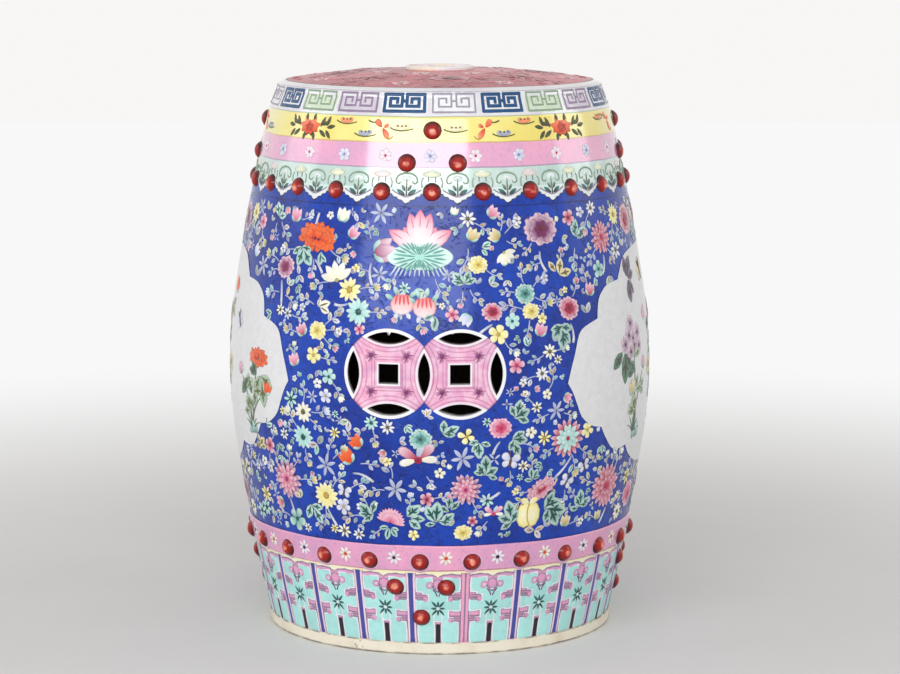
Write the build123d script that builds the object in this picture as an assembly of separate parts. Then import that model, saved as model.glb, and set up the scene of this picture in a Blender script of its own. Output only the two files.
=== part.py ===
from build123d import *
import math
import os

# Garden stool of glazed ceramic: a hollow barrel, open underneath, thrown in sections that are
# luted together with slip. The floor is z = 0, the axis is Z and the front faces -Y. Millimetres.

# Outside curve of the barrel: one tight arc round the belly, a nearly straight arc above and below
belly_radius = 177.0
belly_height = 220.0
belly_arc_radius = 425.0
belly_half_span = 64.0
flank_arc_radius = 2000.0
wall = 10.0

# Heights of the sections, one on another from the floor up
foot_height = 10.0
skirt_height = 62.0
base_band_height = 22.0
lower_barrel_height = 141.0
upper_barrel_height = 132.0
shoulder_height = 68.0
fret_height = 16.0

# Foot ring and raised band of the base
foot_width = 15.0
foot_relief = 0.8
foot_round = 2.5
band_relief = 1.6

# Lap joints between the sections: a tongue on the upper one, inside a rebate of the lower one
lap_depth = 6.0
lap_share = 0.5
slip_gap = 0.2

# Rim and seat
fret_taper = 7.0
rim_round = 7.5
ledge_width = 10.0
ledge_depth = 8.0
ledge_slope = 15.0
seat_thickness = 12.0
seat_rise = 9.0

# Coin let into the middle of the seat
seat_coin_radius = 29.0
seat_coin_overlap = 12.0
seat_coin_rim = 2.8
seat_coin_square = 13.0
seat_coin_proud = 2.5

# Pairs of interlocking coins pierced through the front and the back, centred on the barrel's seam
coin_radius = 36.0
coin_overlap = 15.0
coin_rim = 2.6
coin_lip = 1.8
coin_square = 16.0
coin_field_depth = 0.8
coin_lip_relief = 0.8

# Bosses: low glazed domes
boss_radius = 7.3
boss_rise = 4.5
boss_root = 4.0
trio_half_angle = 7.7
trio_count = 4

shoulder_row_count = 24
shoulder_row_lift = 11.0
shoulder_pair_lift = 33.5
shoulder_single_lift = 59.0
shoulder_turn = 1.8

base_row_count = 24
base_row_lift = 8.0
base_pair_drop = 14.0
base_single_drop = 40.0
base_turn = -1.7

# Levels that follow from the heights
foot_top = foot_height
skirt_top = foot_top + skirt_height
band_top = skirt_top + base_band_height
barrel_seam = band_top + lower_barrel_height
barrel_top = barrel_seam + upper_barrel_height
shoulder_top = barrel_top + shoulder_height
fret_top = shoulder_top + fret_height
rim_top = fret_top + rim_round

# Turn of the wall at the ends of the belly arc, and the centres of the arcs
belly_turn = math.asin(belly_half_span / belly_arc_radius)
belly_centre = belly_radius - belly_arc_radius
flank_centre = belly_centre + (belly_arc_radius - flank_arc_radius) * math.cos(belly_turn)
flank_centre_drop = (belly_arc_radius - flank_arc_radius) * math.sin(belly_turn)


# Half height of the belly arc on the surface moved out by offset
def belly_reach(offset):
    return (belly_arc_radius + offset) * math.sin(belly_turn)


# Radius of the barrel's surface, moved out by offset, at a height
def wall_radius(height, offset=0.0):
    rise = abs(height - belly_height)
    if rise <= belly_reach(offset):
        return belly_centre + math.sqrt((belly_arc_radius + offset) ** 2 - rise**2)
    return flank_centre + math.sqrt((flank_arc_radius + offset) ** 2 - (rise - flank_centre_drop) ** 2)


# Point of that surface, as radius and height
def wall_point(height, offset=0.0):
    return (wall_radius(height, offset), height)


# Arcs of that surface from one height to another, broken where the belly arc ends
def wall_arcs(start, end, offset=0.0):
    breaks = [belly_height - belly_reach(offset), belly_height + belly_reach(offset)]
    inside = sorted(h for h in breaks if min(start, end) < h < max(start, end))
    if end < start:
        inside.reverse()
    levels = [start] + inside + [end]
    arcs = []
    for low, high in zip(levels, levels[1:]):
        middle = (low + high) / 2
        arcs.append(ThreePointArc(wall_point(low, offset), wall_point(middle, offset), wall_point(high, offset)))
    return arcs


# Arc from one point to another that bulges towards a corner
def corner_arc(start, corner, end):
    middle = [(a + b) / 2 for a, b in zip(start, end)]
    bulge = [m + (c - m) * (math.sqrt(2) - 1) for m, c in zip(middle, corner)]
    return ThreePointArc(start, tuple(bulge), end)


# Solid turned about Z from an outline of radius and height
def turned(edges):
    return revolve(Plane.XZ * make_face(edges), Axis.Z)


# Radius of the lap between two sections at a joint
def lap_radius(joint):
    return wall_radius(joint) - wall * lap_share


# Foot ring: bare coil under the barrel, a little proud of it
def make_foot_ring():
    outer = wall_radius(foot_top) + foot_relief
    ring = Cylinder(outer, foot_height, align=(Align.CENTER, Align.CENTER, Align.MIN))
    ring -= Cylinder(outer - foot_width, foot_height, align=(Align.CENTER, Align.CENTER, Align.MIN))
    return fillet(ring.edges().group_by(Axis.Z)[0], foot_round)


# Base outside: the skirt, then the raised band with rounded edges
def base_outside():
    band_low = skirt_top + band_relief
    band_high = band_top - band_relief
    low_corner = wall_point(skirt_top, band_relief)
    high_corner = wall_point(band_top, band_relief)
    return [
        *wall_arcs(foot_top, skirt_top),
        corner_arc(wall_point(skirt_top), low_corner, wall_point(band_low, band_relief)),
        *wall_arcs(band_low, band_high, band_relief),
        corner_arc(wall_point(band_high, band_relief), high_corner, wall_point(band_top)),
    ]


# Base section: skirt and raised band, with a rebate for the barrel's tongue
def make_base_section():
    step = lap_radius(band_top)
    low = band_top - lap_depth
    return turned(
        base_outside()
        + [
            Line(wall_point(band_top), (step, band_top)),
            Line((step, band_top), (step, low)),
            Line((step, low), wall_point(low, -wall)),
            *wall_arcs(low, foot_top, -wall),
            Line(wall_point(foot_top, -wall), wall_point(foot_top)),
        ]
    )


# Solid inside a run of outside edges, for seating what is luted onto them
def core(edges, low, high):
    top_point = edges[-1] @ 1
    low_point = edges[0] @ 0
    return turned(
        edges
        + [
            Line((top_point.X, high), (0, high)),
            Line((0, high), (0, low)),
            Line((0, low), (low_point.X, low)),
        ]
    )


# Centres of two coins side by side, on the front plane
def coin_centres():
    pitch = 2 * coin_radius - coin_overlap
    return [(-pitch / 2, barrel_seam), (pitch / 2, barrel_seam)]


# Pointed openings of a coin: where a ring of the given radius crosses its four neighbours' rings
def crossings(centre, pitch, own, other):
    lenses = Sketch()
    for step in ((pitch, 0), (-pitch, 0), (0, pitch), (0, -pitch)):
        neighbour = Pos(centre[0] + step[0], centre[1] + step[1]) * Circle(other)
        lenses += (Pos(*centre) * Circle(own)) & neighbour
    return lenses


# Prism through the front wall from a sketch on the front plane
def through_front(sketch):
    return extrude(Plane.XZ * sketch, amount=belly_radius + wall)


# Ring of the wall between two heights and two offsets
def wall_shell(low, high, outside, inside):
    return turned(
        [
            *wall_arcs(low, high, outside),
            Line(wall_point(high, outside), wall_point(high, inside)),
            *wall_arcs(high, low, inside),
            Line(wall_point(low, inside), wall_point(low, outside)),
        ]
    )


# Pierced panel of two interlocking coins, curved with the wall, its openings edged by raised lips
def make_coin_panel():
    pitch = 2 * coin_radius - coin_overlap
    opening_radius = coin_radius - coin_rim
    low = barrel_seam - coin_radius - wall
    high = barrel_seam + coin_radius + wall
    discs = Sketch() + [Pos(*c) * Circle(coin_radius) for c in coin_centres()]
    holes = Sketch()
    lips = Sketch()
    for centre in coin_centres():
        square = coin_square + 2 * coin_lip
        lips += crossings(centre, pitch, coin_radius, opening_radius + coin_lip)
        lips += Pos(*centre) * Rectangle(square, square)
        holes += crossings(centre, pitch, opening_radius, opening_radius)
        holes += Pos(*centre) * Rectangle(coin_square, coin_square)
    field = wall_shell(low, high, -coin_field_depth, -wall) & through_front(discs)
    edging = wall_shell(low, high, coin_lip_relief, -wall) & through_front(lips & discs)
    return field + edging - through_front(holes)


# Half of the barrel between two joints: a tongue below, a rebate above, and notches for the coins
def make_barrel_half(low, high):
    low_step = lap_radius(low) - slip_gap
    high_step = lap_radius(high)
    tongue = low - lap_depth
    rebate = high - lap_depth
    half = turned(
        [
            *wall_arcs(low, high),
            Line(wall_point(high), (high_step, high)),
            Line((high_step, high), (high_step, rebate)),
            Line((high_step, rebate), wall_point(rebate, -wall)),
            *wall_arcs(rebate, tongue, -wall),
            Line(wall_point(tongue, -wall), (low_step, tongue)),
            Line((low_step, tongue), (low_step, low)),
            Line((low_step, low), wall_point(low)),
        ]
    )
    for centre in coin_centres():
        half -= extrude(Plane.XZ * Pos(*centre) * Circle(coin_radius), amount=belly_radius + wall, both=True)
    return half


# Shoulder outside: the flank, the tapered fret band and the rounded rim
def shoulder_outside():
    fret_low = wall_point(shoulder_top)
    fret_high = (fret_low[0] - fret_taper, fret_top)
    rim = (fret_high[0] - rim_round, rim_top)
    return [
        *wall_arcs(barrel_top, shoulder_top),
        Line(fret_low, fret_high),
        corner_arc(fret_high, (fret_high[0], rim_top), rim),
    ]


# Radius of the seat, where the rim ends
def seat_radius():
    return wall_radius(shoulder_top) - fret_taper - rim_round


# Shoulder section: flank, rim and the ledge that carries the seat, with a tongue for the barrel
def make_shoulder_section():
    step = lap_radius(barrel_top) - slip_gap
    tongue = barrel_top - lap_depth
    ledge = rim_top - seat_thickness
    ledge_inner = seat_radius() - ledge_width
    ledge_low = ledge - ledge_depth
    slope_low = ledge_low - ledge_slope
    return turned(
        shoulder_outside()
        + [
            Line((seat_radius(), rim_top), (seat_radius(), ledge)),
            Line((seat_radius(), ledge), (ledge_inner, ledge)),
            Line((ledge_inner, ledge), (ledge_inner, ledge_low)),
            Line((ledge_inner, ledge_low), wall_point(slope_low, -wall)),
            *wall_arcs(slope_low, tongue, -wall),
            Line(wall_point(tongue, -wall), (step, tongue)),
            Line((step, tongue), (step, barrel_top)),
            Line((step, barrel_top), wall_point(barrel_top)),
        ]
    )


# Radius of the sphere of the seat's top
def dome_radius():
    return (seat_radius() ** 2 + seat_rise**2) / (2 * seat_rise)


# Point of that dome at a radius, sunk by a depth measured along its normal
def dome_point(radius, depth=0.0):
    centre = rim_top + seat_rise - dome_radius()
    return (radius, centre + math.sqrt((dome_radius() - depth) ** 2 - radius**2))


# Arc of that dome between two radii
def dome_arc(start, end, depth=0.0):
    middle = (start + end) / 2
    return ThreePointArc(dome_point(start, depth), dome_point(middle, depth), dome_point(end, depth))


# Seat: a domed disc lying on the ledge, open in the middle for its coin
def make_seat_top():
    ledge = rim_top - seat_thickness
    edge = seat_radius() - slip_gap
    ledge_inner = seat_radius() - ledge_width
    under = dome_point(ledge_inner, seat_thickness)
    hole_top = dome_point(seat_coin_radius)
    hole_low = dome_point(seat_coin_radius, seat_thickness)
    return turned(
        [
            dome_arc(edge, seat_coin_radius),
            Line(hole_top, hole_low),
            dome_arc(seat_coin_radius, ledge_inner, seat_thickness),
            Line(under, (ledge_inner, ledge)),
            Line((ledge_inner, ledge), (edge, ledge)),
            Line((edge, ledge), dome_point(edge)),
        ]
    )


# Seat coin: a pierced disc let into the seat, its rim standing proud
def make_seat_coin():
    radius = seat_coin_radius - slip_gap
    field = radius - seat_coin_rim
    top = rim_top + seat_rise + seat_coin_proud
    coin = turned(
        [
            Line((radius, dome_point(radius, seat_thickness)[1]), (radius, top - seat_coin_rim / 2)),
            corner_arc((radius, top - seat_coin_rim / 2), (radius, top), (radius - seat_coin_rim / 2, top)),
            Line((radius - seat_coin_rim / 2, top), (field, top)),
            Line((field, top), dome_point(field)),
            dome_arc(field, 0),
            Line(dome_point(0), dome_point(0, seat_thickness)),
            dome_arc(0, radius, seat_thickness),
        ]
    )
    pitch = 2 * seat_coin_radius - seat_coin_overlap
    holes = crossings((0, 0), pitch, field, field) + Rectangle(seat_coin_square, seat_coin_square)
    return coin - extrude(holes, amount=top)


# One boss on the wall at a height, its back shaped to the core that it is luted to
def make_boss(height, offset, seat):
    tilt_run = 1.0
    slope = (wall_radius(height + tilt_run) - wall_radius(height - tilt_run)) / (2 * tilt_run)
    outward = Vector(1, 0, -slope)
    ball = (boss_radius**2 + boss_rise**2) / (2 * boss_rise)
    half_angle = math.acos((ball - boss_rise) / ball) / 2
    shoulder_point = (ball * math.sin(half_angle), boss_rise - ball + ball * math.cos(half_angle))
    dome = turned(
        [
            Line((0, -boss_root), (boss_radius, -boss_root)),
            Line((boss_radius, -boss_root), (boss_radius, 0)),
            ThreePointArc((boss_radius, 0), shoulder_point, (0, boss_rise)),
            Line((0, boss_rise), (0, -boss_root)),
        ]
    )
    place = Plane((wall_radius(height, offset), 0, height), x_dir=(0, 1, 0), z_dir=outward)
    return place * dome - seat


# Copies of a boss at angles counted from the front
def around(boss, angles):
    return [Rot(0, 0, angle - 90) * boss for angle in angles]


def row(boss, count, turn=0.0):
    return around(boss, [turn + 360 / count * index for index in range(count)])


def trio(pair_boss, single_boss, side, turn=0.0):
    middle = turn + 360 / trio_count * side
    pair = around(pair_boss, [middle - trio_half_angle, middle + trio_half_angle])
    return pair + around(single_boss, [middle])


def save(node, solids):
    items = solids if isinstance(solids, list) else [solids]
    flat = [solid for item in items for solid in item.solids()]
    export_step(Compound(children=flat) if len(flat) > 1 else flat[0], f"parts/{node}.step")
    print(node, len(flat), round(sum(solid.volume for solid in flat)))


os.makedirs("parts", exist_ok=True)

coin_panel = make_coin_panel()
save("foot_ring", make_foot_ring())
save("base_section", make_base_section())
save("lower_barrel", make_barrel_half(band_top, barrel_seam))
save("upper_barrel", make_barrel_half(barrel_seam, barrel_top))
save("shoulder_section", make_shoulder_section())
save("seat_top", make_seat_top())
save("seat_coin", make_seat_coin())
save("front_coin_panel", coin_panel)
save("back_coin_panel", Rot(0, 0, 180) * coin_panel)

base_core = core(base_outside(), foot_top, band_top)
shoulder_core = core(shoulder_outside(), barrel_top, rim_top)
shoulder_single = make_boss(barrel_top + shoulder_single_lift, 0, shoulder_core)
shoulder_pair = make_boss(barrel_top + shoulder_pair_lift, 0, shoulder_core)
shoulder_row = make_boss(barrel_top + shoulder_row_lift, 0, shoulder_core)
base_row = make_boss(skirt_top + base_row_lift, band_relief, base_core)
base_pair = make_boss(skirt_top - base_pair_drop, 0, base_core)
base_single = make_boss(skirt_top - base_single_drop, 0, base_core)

save("shoulder_row_bosses", row(shoulder_row, shoulder_row_count, shoulder_turn))
save("base_row_bosses", row(base_row, base_row_count, base_turn))
for side, name in enumerate(("front", "right", "back", "left")):
    save(f"{name}_shoulder_trio", trio(shoulder_pair, shoulder_single, side, shoulder_turn))
    save(f"{name}_base_trio", trio(base_pair, base_single, side, base_turn))
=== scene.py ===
import math
import random
import bmesh
import bpy
import numpy as np
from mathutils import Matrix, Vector


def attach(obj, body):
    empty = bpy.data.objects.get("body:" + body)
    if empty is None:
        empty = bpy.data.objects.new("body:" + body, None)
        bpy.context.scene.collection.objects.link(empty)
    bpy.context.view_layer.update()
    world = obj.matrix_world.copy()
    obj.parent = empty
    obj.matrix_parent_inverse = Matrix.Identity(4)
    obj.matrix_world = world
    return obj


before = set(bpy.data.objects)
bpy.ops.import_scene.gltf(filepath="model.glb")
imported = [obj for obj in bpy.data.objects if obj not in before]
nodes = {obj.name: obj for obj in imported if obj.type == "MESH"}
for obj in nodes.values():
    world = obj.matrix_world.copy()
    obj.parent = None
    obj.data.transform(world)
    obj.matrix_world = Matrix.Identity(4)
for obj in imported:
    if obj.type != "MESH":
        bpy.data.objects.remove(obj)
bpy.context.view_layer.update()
print("frame loaded:", len(nodes), "pieces")

# paints as they look on the stool, sRGB 0 to 255
paints = dict(
    cobalt=(5, 50, 154), cobaltDeep=(2, 20, 92), cobaltPale=(14, 68, 182), ink=(7, 16, 64),
    black=(22, 20, 26), umber=(96, 70, 62), white=(240, 241, 244), cream=(250, 246, 214),
    milk=(228, 229, 231), ivory=(250, 238, 196), yellow=(246, 236, 140), bandYellow=(240, 220, 98),
    ochre=(196, 160, 70), olive=(92, 92, 44), oliveDark=(48, 54, 34), tealPale=(214, 236, 230),
    teal=(168, 224, 218), tealMid=(112, 186, 176), tealDeep=(70, 142, 134), greenDark=(24, 76, 72),
    greenPale=(206, 222, 196), greenGrey=(140, 164, 138), leafGreen=(104, 152, 112),
    pinkPale=(250, 222, 236), pink=(240, 166, 200), rose=(222, 92, 136), bandPink=(222, 160, 200),
    crimson=(192, 18, 72), maroon=(106, 22, 48), magenta=(150, 44, 108), purple=(118, 40, 108),
    orange=(226, 70, 22), tangerine=(250, 122, 58), rust=(170, 44, 14), peach=(255, 152, 112),
    coral=(238, 76, 70), lilac=(198, 206, 240), lilacGrey=(172, 180, 206), mauve=(150, 128, 158),
    violet=(70, 78, 164), fretBlue=(4, 72, 122), fretGrey=(160, 154, 170), fretPale=(214, 208, 220),
    bandTeal=(186, 212, 206), panelTeal=(176, 234, 230), padTeal=(150, 216, 204), bossRed=(168, 14, 8),
    bossEdgeShade=(46, 2, 4), bossPaintedHighlight=(255, 166, 140), seat=(204, 72, 86), seatDeep=(152, 44, 60),
    seatPale=(240, 148, 158), clay=(206, 190, 162), clayPale=(236, 228, 210), clayShadeAndDirt=(92, 80, 68))


def linear(rgb):
    return np.array([c / 3294.6 if c <= 10.31 else ((c / 255 + 0.055) / 1.055) ** 2.4 for c in rgb])


mixed = {name: linear(rgb) for name, rgb in paints.items()}


def paint(name):
    return (*mixed[name], 1.0)


# outside of the stool in mm, angles in degrees from the front towards +X
barrel = dict(belly=177.0, bellyHeight=220.0, bellyArc=425.0, halfSpan=64.0, flankArc=2000.0,
              skirtTop=72.0, bandTop=94.0, bandRelief=1.6, seam=235.0, shoulderTop=435.0, fretTop=451.0,
              fretTaper=7.0, rimTop=458.5, seatRadius=129.0, seatRise=9.0)


def thrownRadius(z):
    b = barrel
    turn = math.asin(b["halfSpan"] / b["bellyArc"])
    rise = np.abs(np.asarray(z, float) - b["bellyHeight"])
    middle = b["belly"] - b["bellyArc"]
    belly = middle + np.sqrt(b["bellyArc"] ** 2 - np.minimum(rise, b["halfSpan"]) ** 2)
    spare = b["bellyArc"] - b["flankArc"]
    away = rise - spare * math.sin(turn)
    flank = middle + spare * math.cos(turn) + np.sqrt(b["flankArc"] ** 2 - away**2)
    return np.where(rise <= b["halfSpan"], belly, flank)


def wallRadius(z):
    b = barrel
    z = np.asarray(z, float)
    band = (z > b["skirtTop"]) & (z < b["bandTop"])
    fret = np.clip((z - b["shoulderTop"]) / (b["fretTop"] - b["shoulderTop"]), 0, 1)
    rim = b["rimTop"] - b["fretTop"]
    over = np.clip(z - b["fretTop"], 0, rim)
    rounding = rim - np.sqrt(rim**2 - over**2)
    thrown = thrownRadius(np.minimum(z, b["shoulderTop"]))
    return thrown + band * b["bandRelief"] - fret * b["fretTaper"] - rounding


def wrapWall(flat):
    turn, z, out = np.radians(flat[:, 0]), flat[:, 1], flat[:, 2]
    lean = np.clip(wallRadius(z + 0.5) - wallRadius(z - 0.5), -0.6, 0.6)
    unit = 1 / np.sqrt(1 + lean**2)
    r = wallRadius(z) + out * unit
    return np.stack([r * np.sin(turn), -r * np.cos(turn), z - out * unit * lean], 1) / 1000


def wrapSeat(flat):
    b = barrel
    dome = (b["seatRadius"] ** 2 + b["seatRise"] ** 2) / (2 * b["seatRise"])
    x, y, out = flat.T
    z = b["rimTop"] + b["seatRise"] - dome + np.sqrt(dome**2 - x**2 - y**2) + out
    return np.stack([x, y, z], 1) / 1000


def mmPerDegree(z):
    return float(wallRadius(z)) * math.pi / 180


# brush marks: small crowned shapes that every painted motif is laid from
class Mark:
    def __init__(self, name, bm, height, along):
        for face in bm.faces:
            if face.normal.z < 0:
                face.normal_flip()
        self.edge = np.array([float(v.is_boundary) for v in bm.verts])
        self.along = np.array([along(v) for v in bm.verts])
        self.points = np.array([(v.co.x, v.co.y, height(v)) for v in bm.verts])
        self.mesh = bpy.data.meshes.new("mark_" + name)
        bm.to_mesh(self.mesh)
        bm.free()


crown = dict(reach=(0.0, 0.42, 0.84, 1.0), height=(1.0, 0.95, 0.7, -0.4))


def widestFace(bm):
    return max(bm.faces, key=lambda face: len(face.verts))


def roundMark(name, sides, warp, radial=False, rings=(0.16, 0.42)):
    bm = bmesh.new()
    bmesh.ops.create_circle(bm, cap_ends=True, segments=sides, radius=1)
    for inset in rings:
        bmesh.ops.inset_region(bm, faces=[widestFace(bm)], thickness=inset, use_even_offset=True,
                               use_boundary=True)
    bmesh.ops.poke(bm, faces=[widestFace(bm)])
    reach = {v: min(1.0, v.co.length) for v in bm.verts}
    for v in bm.verts:
        v.co.x, v.co.y = warp(v.co.x, v.co.y)
    bm.normal_update()
    along = (lambda v: reach[v]) if radial else (lambda v: min(1.0, max(0.0, v.co.y)))
    return Mark(name, bm, lambda v: float(np.interp(reach[v], crown["reach"], crown["height"])), along)


def petalWarp(width):
    return lambda x, y: (x * width((y + 1) / 2), (y + 1) / 2)


def leafWidth(v):
    return 1.75 * max(0.0, v * (1 - v)) ** 0.4


def notchWarp(x, y):
    v = (y + 1) / 2
    return x * (0.55 + 0.75 * v), v - 0.24 * math.exp(-((x / 0.3) ** 2)) * max(0.0, v - 0.55) / 0.45


def blockWarp(x, y):
    stretch = (math.hypot(x, y) / max(abs(x), abs(y), 1e-6)) ** 0.82
    return x * stretch, y * stretch / 2


def discWarp(x, y):
    return x, y / 2


# outline drawn in mm, its right half first from the top down
def drawnMark(name, half, inset):
    points = half + [(-x, y) for x, y in reversed(half) if x > 0]
    bm = bmesh.new()
    bm.faces.new([bm.verts.new((x, y, 0)) for x, y in points])
    bm.normal_update()
    if bm.faces[:][0].normal.z < 0:
        bmesh.ops.reverse_faces(bm, faces=bm.faces[:])
    bmesh.ops.inset_region(bm, faces=bm.faces[:], thickness=inset, use_even_offset=True,
                           use_boundary=True)
    bmesh.ops.triangulate(bm, faces=[widestFace(bm)])
    bm.normal_update()
    low, high = min(p[1] for p in points), max(p[1] for p in points)
    return Mark(name, bm, lambda v: 0.9, lambda v: (v.co.y - low) / (high - low))


# strip for stems and lines, bent when it is laid
def stripMark(name, steps, shoulder=0.8):
    bm = bmesh.new()
    bmesh.ops.create_grid(bm, x_segments=3, y_segments=steps, size=1)
    for v in bm.verts:
        if abs(v.co.x) < 0.9:
            v.co.x = math.copysign(shoulder, v.co.x)
    bm.normal_update()
    return Mark(name, bm, lambda v: 0.9, lambda v: (v.co.y + 1) / 2)


marks = dict(
    petal=roundMark("petal", 12, petalWarp(lambda v: 0.55 + 0.7 * v)),
    notched=roundMark("notched", 14, notchWarp),
    pointed=roundMark("pointed", 12, petalWarp(lambda v: 1.5 * max(0.0, 1 - v) ** 0.45)),
    leaf=roundMark("leaf", 12, petalWarp(leafWidth)),
    edgedLeaf=roundMark("edgedLeaf", 10, petalWarp(leafWidth), radial=True, rings=(0.2, 0.36)),
    oval=roundMark("oval", 12, petalWarp(lambda v: 1.0)),
    dot=roundMark("dot", 10, discWarp, radial=True),
    pad=roundMark("pad", 30, discWarp, radial=True, rings=(0.06, 0.5)),
    block=roundMark("block", 16, blockWarp, radial=True, rings=(0.07, 0.5)),
    strip=stripMark("strip", 6),
    longStrip=stripMark("longStrip", 12),
    jagged=drawnMark("jagged", [(0, 4.2), (2.6, 4.8), (4.6, 6.5), (4.4, 3.2), (8.6, 2.2), (6, -0.6),
                                (6.4, -3.4), (3.4, -3.6), (2.2, -6.4), (0, -4.6)], 0.6),
    lappet=drawnMark("lappet", [(0, 4), (16.5, 4), (14.8, -1), (12, -1.6), (10.8, -3.6), (7.8, -4.2),
                                (6.6, -6.0), (3.6, -6.6), (2, -8.4), (0, -9.8)], 0.8))
print("brush marks:", len(marks))


# marks gather on sheets laid out flat as degrees or mm across, mm up and mm out
class Sheet:
    def __init__(self, wrap):
        self.bm, self.wrap, self.spots, self.tints = bmesh.new(), wrap, [], []

    def lay(self, mark, flat, level, tint):
        self.bm.from_mesh(mark.mesh, face_normals=False, vertex_normals=False)
        flat[mark.edge > 0.5, 2] = level + sunk
        self.spots.append(flat)
        self.tints.append(tint)


sheets = {}
hand = random.Random(1881)
sectors = dict(flowers=12, shoulder=8, base=8, coins=2, picture=4)
zoneGround = dict(picture=0.3, coins=-0.8)
sunk = -0.06   # how far a mark's edge goes under the glaze


def sheetFor(zone, deg, z):
    if zone == "seat":
        return sheets.setdefault("seat_flowers_%d" % (int(deg > 0) * 2 + int(z > 0)), Sheet(wrapSeat))
    part = int(((deg + 180 / sectors[zone]) % 360) // (360 / sectors[zone]))
    level = "" if zone != "flowers" else ("_upper" if z > barrel["seam"] else "_lower")
    return sheets.setdefault("%s%s_%02d" % (zone, level, part), Sheet(wrapWall))


def shades(mark, tint, line, ink, blend):
    base, tip = (mixed[name] for name in (tint if isinstance(tint, tuple) else (tint, tint)))
    v = (mark.along**blend)[:, None]
    e = (mark.edge * line)[:, None]
    colour = (base * (1 - v) + tip * v) * hand.uniform(0.92, 1.05)
    return np.clip(colour * (1 - e) + mixed[ink] * e, 0, 1)


def scaleAt(zone, z):
    return 1.0 if zone == "seat" else mmPerDegree(z)


# one mark: size is width and length in mm, turn is clockwise from upright, foot is its root's distance
def dab(zone, shape, at, size, turn=0.0, foot=0.0, tint="white", lift=0.0, rise=0.4, line=0.7, ink="ink",
        blend=1.3):
    deg, z = at
    mark, k, level = marks[shape], scaleAt(zone, z), zoneGround.get(zone, 0.0) + lift
    s, c = math.sin(math.radians(turn)), math.cos(math.radians(turn))
    across, up = mark.points[:, 0] * size[0] / 2, mark.points[:, 1] * size[1] + foot
    out = level + rise * mark.points[:, 2]
    flat = np.stack([deg + (c * across + s * up) / k, z + c * up - s * across, out], 1)
    sheetFor(zone, deg, z).lay(mark, flat, level, shades(mark, tint, line, ink, blend))


# line bent through three points in mm from the spot, tapering from wide to narrow
def stroke(zone, at, points, wide, narrow=None, tint="white", lift=0.0, rise=0.35, line=0.5, ink="ink",
           shape="strip"):
    deg, z = at
    mark, k, level = marks[shape], scaleAt(zone, z), zoneGround.get(zone, 0.0) + lift
    a, b, c = (np.array(p, float) for p in points)
    v = (mark.points[:, 1:2] + 1) / 2
    spot = a * (1 - v) ** 2 + b * 2 * v * (1 - v) + c * v * v
    way = (b - a) * (1 - v) + (c - b) * v
    way = way / np.maximum(np.linalg.norm(way, axis=1, keepdims=True), 1e-6)
    half = (wide * (1 - v[:, 0]) + (wide if narrow is None else narrow) * v[:, 0]) / 2 * mark.points[:, 0]
    x, y = spot[:, 0] + way[:, 1] * half, spot[:, 1] - way[:, 0] * half
    flat = np.stack([deg + x / k, z + y, level + rise * mark.points[:, 2]], 1)
    sheetFor(zone, deg, z).lay(mark, flat, level, shades(mark, tint, line, ink, 1.3))


# spot moved by mm to the right and up
def shifted(zone, at, x, y):
    return at[0] + x / scaleAt(zone, at[1]), at[1] + y


def polar(turn, reach):
    return reach * math.sin(math.radians(turn)), reach * math.cos(math.radians(turn))


# petals round a spot, no two alike
def petals(zone, shape, at, count, foot, size, turn=0.0, flat=1.0, lift=0.0, rise=0.3, lap=0.05, **look):
    for i in range(count):
        way = turn + 360 * i / count + hand.uniform(-5, 5)
        squash = math.hypot(math.sin(math.radians(way)), flat * math.cos(math.radians(way)))
        length = size[1] * squash * hand.uniform(0.9, 1.1)
        dab(zone, shape, at, (size[0] * hand.uniform(0.9, 1.1), length), way, foot * squash,
            lift=lift + lap * (i % 3), rise=rise, **look)


# painted shadow: a deep blue disc under each bloom, which shows as dark gaps between its petals and a dark
# rim round it
def shadow(zone, at, size, flat=1.0):
    if zone == "flowers":
        dab(zone, "dot", at, (size * 0.86, size * 0.86 * flat), tint="cobaltDeep", rise=0.07, line=0)


# base, tip and heart of each kind of bloom, then the same for its inner petals
families = dict(
    forest=("greenDark", "leafGreen", "oliveDark"), orange=("orange", "tangerine", "maroon"),
    magenta=("magenta", "pinkPale", "maroon"), lilac=("lilac", "white", "ochre"),
    purple=("purple", "pinkPale", "maroon"), crimson=("crimson", "pinkPale", "maroon"),
    cream=("cream", "white", "olive"), rose=("rose", "pinkPale", "crimson"),
    yellow=("yellow", "cream", "ochre"), teal=("tealMid", "tealPale", "greenDark"),
    aqua=("teal", "tealPale", "greenDark"), white=("white", "white", "olive"),
    sage=("leafGreen", "greenPale", "olive"), mauve=("mauve", "pinkPale", "maroon"),
    gold=("ochre", "cream", "olive"), night=("black", "mauve", "black"),
    pine=("tealDeep", "tealPale", "greenDark"), coral=("coral", "pinkPale", "rust"),
    crimsonMum=("crimson", "pinkPale", "maroon", "teal", "white", "tealDeep"),
    roseMum=("magenta", "pinkPale", "maroon", "rose", "white", "magenta"))


# every bloom takes a zone, a spot, its size in mm, a family and a turn, whether it needs them all or not
def daisy(zone, at, size, family, turn, count=11):
    base, tip, heart = families[family][:3]
    shadow(zone, at, size * 0.9)
    petals(zone, "leaf", at, count, size * 0.09, (size * 0.2, size * 0.43), turn, tint=(base, tip))
    dab(zone, "dot", at, (size * 0.24, size * 0.24), tint=heart, lift=0.35, rise=0.3)


def blossom(zone, at, size, family, turn, count=5):
    base, tip, heart = families[family][:3]
    shadow(zone, at, size)
    petals(zone, "petal", at, count, size * 0.05, (size * 0.4, size * 0.46), turn, tint=(base, tip))
    dab(zone, "dot", at, (size * 0.2, size * 0.2), tint=heart, lift=0.3, rise=0.3)


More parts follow.
